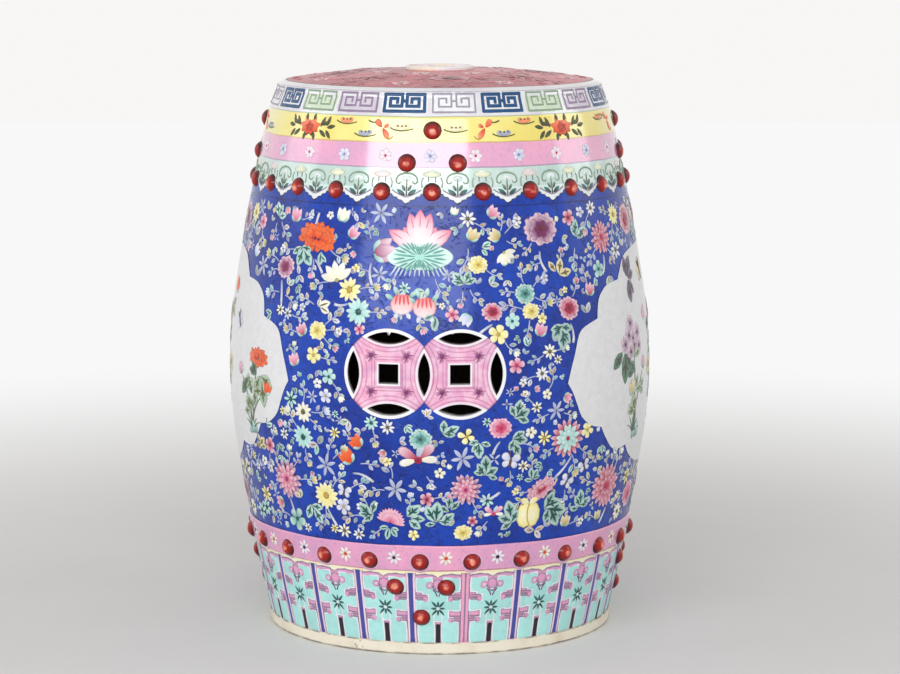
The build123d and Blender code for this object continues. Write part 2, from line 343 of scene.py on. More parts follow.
def peony(zone, at, size, family, turn, count=8, flat=0.86):
    base, tip, heart = families[family][:3]
    shadow(zone, at, size, flat)
    rings = ((0, 0.17, 0.36, 0.34, base, tip, 0.9), (2, 0.07, 0.33, 0.3, base, tip, 2.6),
             (3, 0, 0.28, 0.22, heart, base, 1))
    for level, (fewer, foot, wide, tall, low, high, blend) in enumerate(rings):
        petals(zone, "notched", at, count - fewer, size * foot, (size * wide, size * tall),
               turn + level * 25, flat, tint=(low, high), lift=0.32 * level, rise=0.12, lap=0.1,
               line=0.95, ink=heart, blend=blend)
    dab(zone, "dot", at, (size * 0.14, size * 0.1), tint=heart, lift=0.95, rise=0.15)


# wide open bloom like a cloud, its rows of petals fuller above
cloudRows = dict(back=(-92, 92, 6, 0.34, 0.42, 0.0), under=(118, 242, 4, 0.34, 0.3, 0.12),
                 middle=(-66, 66, 5, 0.28, 0.32, 0.3), lap=(140, 220, 3, 0.26, 0.2, 0.42),
                 heart=(-50, 50, 3, 0.22, 0.2, 0.6))


def cloudPeony(zone, at, size, family, turn):
    base, tip, heart = families[family][:3]
    shadow(zone, at, size, 0.7)
    for first, last, many, wide, tall, lift in cloudRows.values():
        for i in range(many):
            lean = first + (last - first) * i / (many - 1) + hand.uniform(-6, 6)
            spot = shifted(zone, at, *polar(turn + 90, 0.17 * size * math.sin(math.radians(lean))))
            dab(zone, "notched", spot, (wide * size, tall * size * hand.uniform(0.9, 1.1)), turn + lean,
                0, tint=(base, tip), lift=lift + 0.08 * (i % 2), rise=0.14, line=0.95, ink=heart,
                blend=1.3)


def chrysanthemum(zone, at, size, family, turn, count=16):
    base, tip, heart, *inner = families[family]
    shadow(zone, at, size)
    for level, (share, foot, tall) in enumerate(((1.0, 0.2, 0.31), (0.75, 0.11, 0.27), (0.5, 0.03, 0.2))):
        petals(zone, "leaf", at, round(count * share), size * foot, (size * 0.14, size * tall),
               turn + level * 11, tint=tuple(inner[:2]) if inner and level else (base, tip),
               lift=0.3 * level, rise=0.13, lap=0.09, line=0.95,
               ink=inner[2] if inner and level else heart, blend=1.9)
    dab(zone, "dot", at, (size * 0.12, size * 0.12), tint=base, lift=0.9, rise=0.2)


def bud(zone, at, size, family, turn):
    base, tip = families[family][:2]
    for lean in (-26, 26, 0):
        dab(zone, "pointed", at, (size * 0.42, size * 0.8), turn + lean, 0, tint=(base, tip),
            lift=0.1 + 0.2 * (lean == 0), rise=0.28)
    for lean in (-52, 52):
        dab(zone, "leaf", at, (size * 0.26, size * 0.5), turn + lean, 0, tint=("tealMid", "tealPale"),
            lift=0.05)


# broad leaves with pale edges and dark veins
def leafSpray(zone, at, size, family, turn, count=3):
    base, tip, heart = families[family][:3]
    for i in range(count):
        lean = (i - (count - 1) / 2) * 46 + hand.uniform(-14, 14)
        way, length = turn + lean, size * (0.86 - abs(lean) / 300) * hand.uniform(0.85, 1.15)
        root = shifted(zone, at, *polar(hand.uniform(0, 360), size * 0.1))
        dab(zone, "edgedLeaf", root, (length * hand.uniform(0.5, 0.64), length), way, 0, tint=(base, tip),
            lift=0.1 * i, rise=0.3)
        dab(zone, "leaf", root, (length * 0.13, length * 0.78), way, length * 0.06, tint=heart,
            lift=0.3 + 0.1 * i, rise=0.1, line=0)
        for side in (-1, 1) if size > 13 else ():
            vein = shifted(zone, root, *polar(way, length * 0.38))
            dab(zone, "leaf", vein, (length * 0.1, length * 0.28), way + side * 42, 0, tint=heart,
                lift=0.28 + 0.1 * i, rise=0.1, line=0)


# pale leaf with a dull heart, the commonest filling on the ground
def slip(zone, at, length, turn, foot=0.0):
    core = hand.choice(("lilacGrey", "mauve", "ochre", "greenGrey", "lilacGrey", "tealMid"))
    rim = hand.choice(("lilac", "lilac", "white", "cream", "lilacGrey", "tealPale"))
    dab(zone, "edgedLeaf", at, (length * hand.uniform(0.5, 0.68), length), turn, foot, tint=(core, rim),
        rise=0.32)
    dab(zone, "leaf", at, (length * 0.13, length * 0.62), turn, foot + length * 0.1, tint="umber",
        lift=0.24, rise=0.08, line=0)


def pointedStar(zone, at, size, family, turn, count=6):
    petals(zone, "leaf", at, count, 0.3, (size * 0.17, size * 0.5), turn, tint=("lilacGrey", "lilac"),
           rise=0.3)


def butterfly(zone, at, size, family, turn):
    base, tip = families[family][:2]
    for side in (-1, 1):
        dab(zone, "petal", at, (size * 0.42, size * 0.54), turn + side * 52, 0.4, tint=(base, tip))
        dab(zone, "petal", at, (size * 0.34, size * 0.42), turn + side * 122, 0.4, tint=(tip, base))
        dab(zone, "leaf", at, (size * 0.06, size * 0.45), turn + side * 16, size * 0.2, tint="umber",
            lift=0.2)
    dab(zone, "leaf", at, (size * 0.14, size * 0.6), turn + 180, -size * 0.25, tint="umber", lift=0.3)


def fanFlower(zone, at, size, family, turn, count=7):
    base, tip, heart = families[family][:3]
    for level, reach in enumerate((1.0, 0.68)):
        for i in range(count):
            dab(zone, "notched", at, (size * 0.24 * reach, size * 0.6 * reach), turn - 78 + 26 * i, 0,
                tint=(base, tip), lift=0.3 * level + 0.03 * (i % 2), rise=0.28, ink=heart)


def batFlower(zone, at, size, family, turn):
    base, tip, heart = families[family][:3]
    for side in (-1, 1):
        dab(zone, "petal", at, (size * 0.26, size * 0.52), turn + side * 52, 0.5, tint=(base, tip),
            ink=heart)
        dab(zone, "petal", at, (size * 0.2, size * 0.44), turn + side * 96, 1, tint=("cream", "white"),
            lift=-0.02)
    dab(zone, "leaf", at, (size * 0.2, size * 0.44), turn + 24, 0, tint=("lilacGrey", "tealPale"))
    dab(zone, "dot", at, (size * 0.2, size * 0.2), tint=(heart, base), lift=0.3)


def ripeFruit(zone, at, size, family, turn):
    for side in (1, -1):
        half = shifted(zone, at, side * size * 0.14, 0)
        dab(zone, "dot", half, (size * 0.74, size * 1.05), tint=("cream", "yellow"),
            lift=0.1 + 0.05 * side, rise=0.5, ink="ochre")
        dab(zone, "leaf", shifted(zone, at, 0, size * 0.46), (size * 0.26, size * 0.42), side * 62, 0,
            tint=("cream", "yellow"), lift=0.3, ink="ochre")
    stroke(zone, at, ((0, size * 0.44), (-size * 0.16, 0), (size * 0.08, -size * 0.46)), 1.0, 0.8,
           tint="ochre", lift=0.62, rise=0.1, line=0)


def peachPair(zone, at, size, family, turn):
    for x, y in ((-size * 0.5, size * 0.08), (size * 0.5, -size * 0.05)):
        spot = shifted(zone, at, x, y)
        dab(zone, "oval", spot, (size * 1.08, size * 0.98), 0, -size * 0.5, tint=("white", "coral"),
            rise=0.5, blend=1.0, ink="rust")
        for side in (-0.3, -0.1, 0.1, 0.3):   # brush streaks down the blush
            dab(zone, "leaf", shifted(zone, spot, size * side, 0), (size * 0.09, size * 0.46), -side * 40,
                -size * 0.06, tint=("coral", "crimson"), lift=0.6, rise=0.06, line=0)
        for lean in (-52, -22, 8, 40):
            dab(zone, "leaf", spot, (size * 0.24, size * 0.46), lean * 1.2, size * 0.42,
                tint=("tealMid", "tealPale"))
        for lean in (150, 205):
            dab(zone, "leaf", spot, (size * 0.22, size * 0.36), lean, size * 0.4, tint=("lilac", "white"))


def lotus(zone, at, size, family, turn, count=34):
    pad = shifted(zone, at, 0, -size * 0.19)
    for i in range(13):   # roots under the pad
        x = (i - 6) * size * 0.072
        stroke(zone, pad, ((x * 0.9, -size * 0.14), (x, -size * 0.24), (x * 1.2, -size * 0.33)), 1.9, 1.0,
               tint=("tealPale", "lilac"))
    dab(zone, "pad", pad, (size * 1.16, size * 0.44), tint=("padTeal", "tealPale"), lift=0.5, rise=0.2,
        line=0.5, ink="tealDeep")
    for i in range(count):   # ribs of the pad, one long and one short
        way, long = 360 * i / count, 1.0 - 0.42 * (i % 2)
        reach = math.hypot(size * 0.5 * math.sin(math.radians(way)),
                           size * 0.2 * math.cos(math.radians(way)))
        dab(zone, "leaf", pad, (size * 0.036, reach * 0.82 * long), way, reach * (0.94 - 0.82 * long),
            tint=("tealDeep", "tealMid"), lift=0.66, rise=0.12, line=0)
    root = shifted(zone, at, 0, -size * 0.06)
    for lean, wide, tall, lift in ((-38, 0.26, 0.48, 0.0), (38, 0.26, 0.48, 0.0), (-60, 0.28, 0.64, 0.06),
                                   (60, 0.28, 0.64, 0.06), (-17, 0.27, 0.64, 0.14),
                                   (17, 0.27, 0.64, 0.14), (0, 0.28, 0.68, 0.22)):
        dab(zone, "leaf", root, (size * wide, size * tall), lean, 0, lift=lift, rise=0.2,
            tint=("white", "rose"), ink="rose", line=0.9, blend=2.2)
        dab(zone, "leaf", root, (size * 0.02, size * tall * 0.4), lean, size * tall * 0.5,
            lift=lift + 0.16, rise=0.08, tint="rose", line=0)


def magnolia(zone, at, size, family, turn):
    for lean in (-66, 66, -34, 34, 0):
        dab(zone, "leaf", at, (size * 0.36, size * 0.8), turn + lean, 0, tint=("cream", "white"),
            lift=0.3 - 0.003 * abs(lean))
    dab(zone, "dot", at, (size * 0.2, size * 0.2), tint=("greenGrey", "ochre"), lift=0.3)


def cluster(zone, at, size, family, turn, count=8):
    for i in range(count):
        spot = shifted(zone, at, *polar(turn + 137 * i, size * 0.4 * (i / count) ** 0.5))
        blossom(zone, spot, size * 0.36, family, hand.uniform(0, 60), 6)


# pierced garden rock
def rock(zone, at, size, family, turn, count=7):
    base, tip, heart = families[family][:3]
    for i in range(count):
        spot = shifted(zone, at, (i - (count - 1) / 2) * size * 0.17, hand.uniform(-0.04, 0.04) * size)
        tall = size * (0.62 - 0.06 * abs(i - 2)) * hand.uniform(0.8, 1.2)
        dab(zone, "oval", spot, (size * 0.3, tall), hand.uniform(-16, 16), -size * 0.12, tint=(base, tip),
            lift=0.08 * (i % 3), rise=0.25, line=0.9, ink=heart, blend=0.9)
        if i % 2:
            dab(zone, "dot", shifted(zone, spot, 0, tall * 0.4), (size * 0.08, size * 0.11), tint=heart,
                lift=0.36, rise=0.1)


growers = {grow.__name__: grow for grow in (
    lotus, cluster, rock, peony, cloudPeony, daisy, blossom, bud, leafSpray, chrysanthemum, pointedStar,
    butterfly, fanFlower, batFlower, ripeFruit, peachPair, magnolia)}

# motifs on the front of the barrel: kind, degrees, height, size, family, then turn and count if set
field = [
    ("lotus", -1.5, 336, 46, "rose"), ("cloudPeony", -33, 338, 36, "orange", 8),
    ("leafSpray", -38, 329, 20, "teal", 165, 4), ("leafSpray", -31, 327, 13, "teal", 150, 2),
    ("peony", -44, 313.5, 22, "magenta"), ("bud", -14.5, 330, 24, "magenta", 78),
    ("daisy", -21, 300, 20, "yellow", 0, 11), ("daisy", -18, 283, 21, "aqua", 0, 13),
    ("peachPair", -3, 289, 18, "coral"), ("daisy", -44, 279, 10, "cream", 0, 7),
    ("daisy", -41, 277, 10, "white", 9, 7), ("magnolia", -25, 307, 20, "white", -14),
    ("peony", -30, 266, 18, "yellow"), ("bud", -34.5, 261, 14, "crimson", -30),
    ("pointedStar", -13, 361, 19, "lilac"), ("pointedStar", -12.5, 313, 15, "lilac"),
    ("pointedStar", -28, 157, 20, "lilac"), ("pointedStar", -8, 141, 20, "lilac"),
    ("pointedStar", 10, 167, 20, "lilac"), ("pointedStar", 36, 202, 17, "lilac"),
    ("peony", 34, 347, 32, "purple", 10, 9), ("chrysanthemum", 57, 336, 27, "crimson"),
    ("bud", 12.5, 340, 14, "gold", 30), ("bud", 21, 341, 13, "gold", -60),
    ("peony", 14.5, 321, 17, "yellow"), ("leafSpray", 10.6, 308, 17, "teal", -10, 4),
    ("daisy", 12, 357, 13, "white", 0, 8), ("daisy", 54, 360, 12, "white", 0, 8),
    ("blossom", 49, 358, 9, "lilac"), ("leafSpray", 46, 338, 18, "teal", 30, 4),
    ("blossom", 54, 311, 14, "teal"), ("peony", 27.5, 297, 19, "teal"), ("peony", 29, 283, 16, "yellow"),
    ("peony", 18, 284, 18, "crimson"), ("blossom", 23.4, 276, 13, "aqua", 0, 6),
    ("blossom", 19.5, 266, 17, "yellow"), ("peony", 41, 283, 22, "crimson"),
    ("bud", 49, 291, 14, "crimson", 10), ("leafSpray", 38, 269, 22, "pine", 178, 5),
    ("leafSpray", 38, 311, 18, "gold", 20, 3), ("magnolia", 22, 330, 13, "white", 150),
    ("daisy", -34.5, 199, 18, "cream", 0, 10), ("daisy", -35, 178, 20, "aqua", 0, 12),
    ("chrysanthemum", -43, 140, 33, "roseMum"), ("daisy", -29, 131, 22, "yellow", 0, 14),
    ("leafSpray", -34, 121, 18, "teal", 150, 3), ("bud", -17, 175, 15, "orange", -50),
    ("bud", -20, 161, 17, "orange", -40), ("batFlower", -1.7, 166, 34, "crimson", -8),
    ("peony", -1, 183, 20, "teal"), ("leafSpray", 5, 189, 15, "teal", 60, 3),
    ("blossom", 0.5, 133, 12, "crimson"), ("fanFlower", -9.8, 113, 22, "rose"),
    ("leafSpray", -15, 118, 19, "pine", -60, 4), ("leafSpray", -4.8, 117, 18, "teal", 60, 4),
    ("leafSpray", -10, 109, 13, "teal", 180, 4), ("daisy", -24, 103, 12, "cream", 0, 7),
    ("daisy", -19.5, 101, 10, "white", 0, 7), ("blossom", -3.4, 103, 9, "yellow"),
    ("leafSpray", 3.6, 113, 20, "teal", 10, 5), ("peony", 20, 191, 20, "rose"),
    ("leafSpray", 24, 198, 18, "pine", 50, 4), ("leafSpray", 23.4, 180, 19, "pine", 120, 4),
    ("leafSpray", 14.6, 181, 15, "teal", 190, 4), ("blossom", 11, 185, 14, "yellow", 20, 4),
    ("blossom", 28.5, 186, 10, "cream"), ("chrysanthemum", 40, 178, 33, "crimsonMum"),
    ("chrysanthemum", 58, 131, 38, "crimson", 0, 18), ("chrysanthemum", 11, 141, 26, "roseMum"),
    ("cloudPeony", 33, 137, 25, "crimson", -30), ("ripeFruit", 29.4, 117, 21, "yellow"),
    ("leafSpray", 35, 122, 26, "pine", 110, 5), ("leafSpray", 24, 113, 20, "pine", -50, 4),
    ("leafSpray", 29.5, 146, 13, "pine", 0, 4), ("peony", 10.5, 105, 16, "yellow"),
    ("leafSpray", 6.5, 124, 14, "pine", 0, 3), ("butterfly", 23, 163, 17, "lilac", 10),
    ("butterfly", 41, 141, 14, "lilac", 30), ("butterfly", 47, 152, 13, "lilac", -20),
    ("butterfly", -23, 136, 13, "lilac"), ("leafSpray", 16.6, 153, 17, "pine", 10, 5),
    ("daisy", -14, 195, 12, "aqua", 0, 9), ("daisy", -9.6, 192, 12, "white", 0, 8),
    ("leafSpray", 0.4, 202, 10, "lilac", 30, 4), ("blossom", -49, 166, 14, "crimson"),
    ("leafSpray", -54, 162, 15, "gold", 20, 4), ("blossom", -59, 346, 13, "rose", 0, 6),
    ("leafSpray", -50, 354, 15, "aqua", 0, 4), ("bud", -42, 350, 15, "rose", 0),
    ("bud", -25, 353, 15, "cream", 10), ("bud", -22, 341, 13, "rose", 40),
    ("blossom", 4, 155, 9, "cream"), ("leafSpray", 47, 118, 18, "teal", 0, 5),
    ("bud", 42, 103, 13, "gold", 10), ("bud", 56, 103, 11, "gold", 0), ("batFlower", 19, 120, 17, "rose"),
    ("blossom", -41, 107, 19, "teal"), ("blossom", 33, 216, 9, "cream"),
    ("daisy", 30, 206, 10, "cream", 0, 7), ("blossom", -26, 230, 13, "aqua"),
    ("blossom", -31, 246, 14, "yellow"), ("bud", -37, 236, 14, "rose", -20),
    ("blossom", -27, 214, 12, "lilac"), ("daisy", 34, 250, 13, "cream", 0, 8),
    ("daisy", 31.5, 233, 12, "white", 0, 9), ("bud", 31, 263, 14, "rose", 20),
    ("leafSpray", -30, 284, 13, "cream", 70, 3)
]

# what shows over and under the side medallions
flanks = [
    ("peony", 75, 346, 30, "crimson"), ("leafSpray", 80, 336, 20, "pine", 110, 4),
    ("daisy", 66, 352, 17, "yellow", 0, 12), ("chrysanthemum", 90, 349, 30, "purple"),
    ("bud", 84, 343, 14, "gold", -30), ("cloudPeony", 105, 346, 30, "orange"),
    ("daisy", 115, 350, 17, "aqua", 0, 12), ("leafSpray", 99, 338, 18, "teal", 200, 4),
    ("blossom", 122, 338, 15, "rose"), ("peony", 75, 116, 27, "rose"),
    ("leafSpray", 82, 110, 18, "pine", 80, 4), ("daisy", 68, 104, 15, "cream", 0, 11),
    ("chrysanthemum", 91, 119, 28, "magenta"), ("ripeFruit", 104, 112, 19, "yellow"),
    ("leafSpray", 98, 107, 18, "pine", -60, 4), ("cloudPeony", 114, 124, 27, "crimson"),
    ("blossom", 122, 106, 14, "lilac", 0, 6)
]

# plants in the medallions: where they root, then what each stem carries
bushes = [
    ((-57, 175), [("cloudPeony", -53, 236, 26, "orange"), ("bud", -49.5, 209, 15, "orange"),
                  ("bud", -63, 220, 14, "rose")]),
    ((-90, 156), [("cloudPeony", -85, 262, 36, "orange"), ("peony", -103, 232, 30, "rose"),
                  ("bud", -75, 284, 17, "orange"), ("peony", -98, 290, 24, "coral"),
                  ("bud", -112, 268, 16, "rose"), ("daisy", -76, 224, 20, "gold")]),
    ((-116, 176), [("blossom", -116, 214, 17, "mauve"), ("blossom", -124, 232, 17, "mauve"),
                   ("bud", -127, 208, 14, "rose")]),
    ((70, 170), [("cluster", 68.5, 250, 42, "mauve"), ("bud", 68, 203, 17, "gold"),
                 ("bud", 76, 222, 14, "rose")]),
    ((96, 154), [("peony", 93, 264, 34, "purple"), ("peony", 109, 230, 28, "rose"),
                 ("cluster", 104, 288, 24, "mauve"), ("bud", 117, 262, 16, "crimson"),
                 ("daisy", 84, 222, 20, "gold"), ("bud", 81, 262, 16, "rose")]),
    ((118, 178), [("blossom", 120, 214, 17, "coral"), ("blossom", 126, 234, 17, "coral"),
                  ("bud", 112, 202, 14, "gold")]),
]
pictures = [
    ("leafSpray", 62.6, 242, 30, "forest", 184, 3), ("leafSpray", -50.6, 222, 27, "sage", 165, 3),
    ("leafSpray", -58, 218, 24, "forest", 190, 2), ("leafSpray", 68.6, 298, 23, "night", 28, 3),
    ("leafSpray", 68.6, 296, 22, "night", 160, 2), ("butterfly", -110, 296, 22, "gold", 30),
    ("butterfly", -66, 262, 16, "lilac", -30), ("butterfly", 82, 300, 20, "gold", -20),
    ("rock", -92, 158, 40, "pine"), ("rock", 99, 156, 40, "pine"), ("rock", -57, 174, 20, "pine", 0, 4),
    ("rock", 72, 168, 22, "pine", 0, 4)]
# thick pale stalks on the ground: degrees, height, then bend and end in mm
stalks = [
    (-35, 344, 4, 6, 5, 15), (-45, 303, 2, -8, 3, -20), (-43, 124, 3, -8, 4, -16),
    (-29, 121, 3, -8, 8, -15), (-20, 152, 8, 2, 18, -6), (14.5, 134, 8, -5, 18, 4),
    (42, 163, -4, -8, -15, -17), (60, 112, -3, -6, -7, -13), (-15, 322, -3, -9, 2, -18),
    (33, 330, -2, -9, 5, -17), (57, 322, 2, -8, -4, -16), (41, 271, 4, -8, 2, -16),
    (-33, 322, 5, -4, 9, -11), (-21, 289, -7, -3, -13, -1), (18, 274, -5, -2, -11, -7),
    (20, 180, -4, -4, -6, -11)]
backFamily = dict(crimson="purple", purple="crimson", magenta="rose", rose="magenta", orange="coral")
taken = []
upright = ("cloudPeony", "lotus", "batFlower")   # blooms that never lean by chance
bloomShare = dict(lotus=0.6, others=0.44)   # reach of a bloom as a share of its size


def plant(zone, kind, deg, z, size, family, turn=None, count=None, mirrored=False):
    if turn is None:
        turn = 0.0 if kind in upright else hand.uniform(0, 40)
    if mirrored:
        family, turn = backFamily.get(family, family), -turn
    growers[kind](zone, (deg, z), size, family, turn, *(() if count is None else (count,)))
    if zone == "flowers":
        taken.append((deg, z, size * bloomShare["lotus" if kind == "lotus" else "others"]))


# stems with leaves on both sides, then the blooms and a tuft of grass
def bush(root, carried):
    zone, k = "picture", mmPerDegree(root[1])
    for kind, deg, z, size, family in carried:
        end = np.array([(deg - root[0]) * k, z - root[1]])
        bend = end * (0.2, 0.62) + (hand.uniform(-5, 5), 0)
        stroke(zone, root, ((0, 0), bend, end), 2.0, 1.2, tint=("umber", "leafGreen"), lift=-0.1, line=0,
               shape="longStrip")
        steps = int(np.hypot(*end) / 15)
        for i in range(1, steps):
            v, side = i / steps, 1 - 2 * (i % 2)
            spot = bend * 2 * v * (1 - v) + end * v * v
            way = math.degrees(math.atan2(*(bend * (1 - v) + (end - bend) * v)))
            leafSpray(zone, shifted(zone, root, *spot), 18, "sage" if i % 3 else "forest",
                      way + side * 62, 2)
        growers[kind](zone, (deg, z), size, family, way if kind == "bud" else hand.uniform(0, 20))
    for lean in (-58, -34, -12, 14, 36, 60):
        stroke(zone, root, ((0, 0), polar(lean * 0.6, 9), polar(lean, hand.uniform(13, 20))), 1.8, 0.5,
               tint=("greenDark", "leafGreen"), lift=0.05, line=0)


for entry in field:
    plant("flowers", *entry)
for kind, deg, *more in field:
    plant("flowers", kind, 180 - deg, *more, mirrored=True)
for kind, deg, *more in flanks:
    plant("flowers", kind, deg, *more)
    plant("flowers", kind, -deg, *more, mirrored=True)
for entry in bushes:
    bush(*entry)
for entry in pictures:
    plant("picture", *entry)
for deg, z, *line in stalks:
    for side, start in ((1, deg), (-1, 180 - deg)):
        ends = [(side * x, y) for x, y in ((0, 0), line[:2], line[2:])]
        stroke("flowers", (start, z), ends, 1.6, 2.4, tint=("lilacGrey", "white"))
        taken.append((start + side * line[2] / 3, z + line[3] / 2, 4.0))
print("flowers planted:", len(taken))

# scalloped medallions on both sides: degrees from the middle and mm from its height, lobe by lobe
medallion = dict(
    height=230.0, sides=(-90.0, 90.0), border=1.0, bevel=0.7, edge=0.15, level=0.3,
    cut=7, cutOff=0.31, cutsAcross=160, cutsUp=98,
    lobes=(((0, 95), (8, 94.5), (14.9, 92.5), (21.8, 87.5), (25.4, 77), (27.3, 70)),
           ((27.3, 70), (33.2, 67.5), (37, 59.5), (38.3, 51), (38.9, 42)),
           ((38.9, 42), (43.9, 37), (46.3, 31), (47.9, 17), (49.3, 5), (50.5, -7)),
           ((50.5, -7), (48.8, -15), (47.2, -25.5), (45.4, -36), (41.7, -44.3), (37.6, -47)),
           ((37.6, -47), (35.5, -56), (32, -66.6), (28.5, -69.4), (24, -68)),
           ((24, -68), (20.9, -77), (15.3, -85), (8, -89), (0, -90))))


def flowing(points, steps=3):
    line = []
    ends = [points[0], *points, points[-1]]
    for p, q, r, s in zip(ends, ends[1:], ends[2:], ends[3:]):
        for t in (i / steps for i in range(steps)):
            line.append(tuple(0.5 * (2 * b + (c - a) * t + (2 * a - 5 * b + 4 * c - d) * t**2
                                     + (3 * b - a - 3 * c + d) * t**3) for a, b, c, d in zip(p, q, r, s)))
    return line


medallionHalf = [p for lobe in medallion["lobes"] for p in flowing(lobe)] + [medallion["lobes"][-1][-1]]


def medallionReach(dz):
    drops, reaches = [-p[1] for p in medallionHalf], [p[0] for p in medallionHalf]
    return float(np.interp(-dz, drops, reaches, left=0, right=0)) * mmPerDegree(medallion["height"])


def finishMesh(mesh, points, tint):
    mesh.vertices.foreach_set("co", points.astype(np.float32).ravel())
    colours = mesh.attributes.new("tint", "FLOAT_COLOR", "POINT")
    colours.data.foreach_set("color", np.insert(tint, 3, 1.0, 1).astype(np.float32).ravel())
    mesh.shade_smooth()
    mesh.update()
    return mesh


def makeMedallion(name, middle):
    k = mmPerDegree(medallion["height"])
    right = [(round(d * k, 3), dz) for d, dz in medallionHalf]
    outline = dict.fromkeys(right + [(-x, y) for x, y in reversed(right)])
    bm = bmesh.new()
    face = bm.faces.new([bm.verts.new((x, y, 0)) for x, y in outline])
    bm.normal_update()
    if face.normal.z < 0:
        bmesh.ops.reverse_faces(bm, faces=[face])
    for step in (medallion["border"], medallion["bevel"]):
        bmesh.ops.inset_region(bm, faces=[widestFace(bm)], thickness=step, use_even_offset=True,
                               use_boundary=True)
    edge = {v for v in bm.verts if v.is_boundary}
    second = {e.other_vert(v) for v in edge for e in v.link_edges} - edge
    layer = bm.verts.layers.float.new("inner")
    for v in bm.verts:
        v[layer] = -1.0 if v in edge else (0.0 if v in second else 1.0)
    # fine cuts, so that the flat picture can bend round the belly
    for axis, reach in ((Vector((1, 0, 0)), medallion["cutsAcross"]),
                        (Vector((0, 1, 0)), medallion["cutsUp"])):
        for place in range(-reach, reach + 1, medallion["cut"]):
            geometry = bm.verts[:] + bm.edges[:] + bm.faces[:]
            bmesh.ops.bisect_plane(bm, geom=geometry, dist=1e-5,
                                   plane_co=axis * (place + medallion["cutOff"]), plane_no=axis)
    bmesh.ops.triangulate(bm, faces=bm.faces[:])
    inner = np.array([v[layer] for v in bm.verts])
    flat = np.array([v.co[:] for v in bm.verts])
    flat[:, 2] = np.where(inner < -0.5, sunk,
                          np.where(inner < 0.5, medallion["edge"], medallion["level"]))
    flat[:, 0] = middle + flat[:, 0] / k
    flat[:, 1] += medallion["height"]
    mesh = bpy.data.meshes.new(name)
    bm.to_mesh(mesh)
    bm.free()
    mesh.attributes.remove(mesh.attributes["inner"])
    share = np.clip(inner, 0, 1)[:, None]
    return finishMesh(mesh, wrapWall(flat), mixed["milk"] * share + mixed["ink"] * (1 - share))


# pierced coins: half their distance apart, their height, how far they reach, and their florets
coins = dict(pitch=28.5, height=235.0, reach=38.0, facing=60.0, corner=14.4, size=9.0)

# sprigs grow out from the flowers, then small leaves and buds fill what ground is left
filler = dict(tries=15000, gap=0.3, low=97.0, high=365.0, pictureGap=2.0, spread=1.75, bigReach=5,
              reaches=(5.8, 4.8, 3.8, 3.0, 2.4), sprigTries=7, stemTries=2, sprigLength=(9, 15),
              sprigMiddle=3.4, sprigTip=3.6, middleTaken=3.6, tipTaken=3.8,
              endBuds=("rose", "cream", "lilac", "gold", "crimson"),
              endBlossoms=("white", "cream", "yellow", "lilac"),
              daisies=("white", "cream", "aqua", "yellow"),
              blossoms=("white", "lilac", "cream", "rose", "crimson", "yellow"),
              buds=("rose", "crimson", "lilac", "gold", "cream"), leaves=("teal", "aqua", "pine"))


def openGround(deg, z, reach):
    if not filler["low"] + reach < z < filler["high"] - reach:
        return False
    k = mmPerDegree(z)
    for middle in medallion["sides"]:
        away = abs((deg - middle + 180) % 360 - 180)
        if away * k < medallionReach(z - medallion["height"]) + reach + filler["pictureGap"]:
            return False
    for facing in (0, 180):
        away = (deg - facing + 180) % 360 - 180
        x = abs(float(wallRadius(z)) * math.sin(math.radians(away)))
        apart = math.hypot(x - coins["pitch"], z - coins["height"])
        if abs(away) < coins["facing"] and apart < coins["reach"] + reach:
            return False
    spots = np.array(taken)
    dx = ((deg - spots[:, 0] + 180) % 360 - 180) * k
    return not (np.hypot(dx, z - spots[:, 1]) < spots[:, 2] + reach + filler["gap"]).any()


def sprig(at, turn, length):
    zone = "flowers"
    end, side = polar(turn, length), polar(turn + 90, length * hand.uniform(-0.25, 0.25))
    middle = (end[0] / 2 + side[0], end[1] / 2 + side[1])
    stroke(zone, at, ((0, 0), middle, end), 1.1, 0.8, tint=("lilacGrey", "lilac"))
    for share, lean in ((0.4, -50), (0.62, 48), (0.86, -40)):
        slip(zone, shifted(zone, at, *polar(turn, length * share)), length * hand.uniform(0.42, 0.58),
             turn + lean, 0.3)
    tipSpot = shifted(zone, at, *end)
    pick = hand.random()
    if pick < 0.5:
        slip(zone, tipSpot, length * 0.5, turn)
    elif pick < 0.8:
        bud(zone, tipSpot, length * 0.6, hand.choice(filler["endBuds"]), turn)
    else:
        blossom(zone, tipSpot, length * 0.55, hand.choice(filler["endBlossoms"]), turn)


def fillSprig(at, size):
    zone, pick, turn = "flowers", hand.random(), hand.uniform(0, 360)
    if pick < 0.46:
        for lean in (-34, 30, 170)[: hand.choice((2, 2, 3))]:
            slip(zone, at, size * 0.95, turn + lean, 0.2)
    elif pick < 0.56:
        daisy(zone, at, size * 1.5, hand.choice(filler["daisies"]), turn, 7)
    elif pick < 0.66:
        blossom(zone, at, size * 1.35, hand.choice(filler["blossoms"]), turn)
    elif pick < 0.76:
        bud(zone, at, size * 1.3, hand.choice(filler["buds"]), turn)
    elif pick < 0.88:
        leafSpray(zone, at, size * 1.25, hand.choice(filler["leaves"]), turn, 3)
    else:
        pointedStar(zone, at, size * 1.7, "lilac", turn, hand.choice((4, 5, 6)))


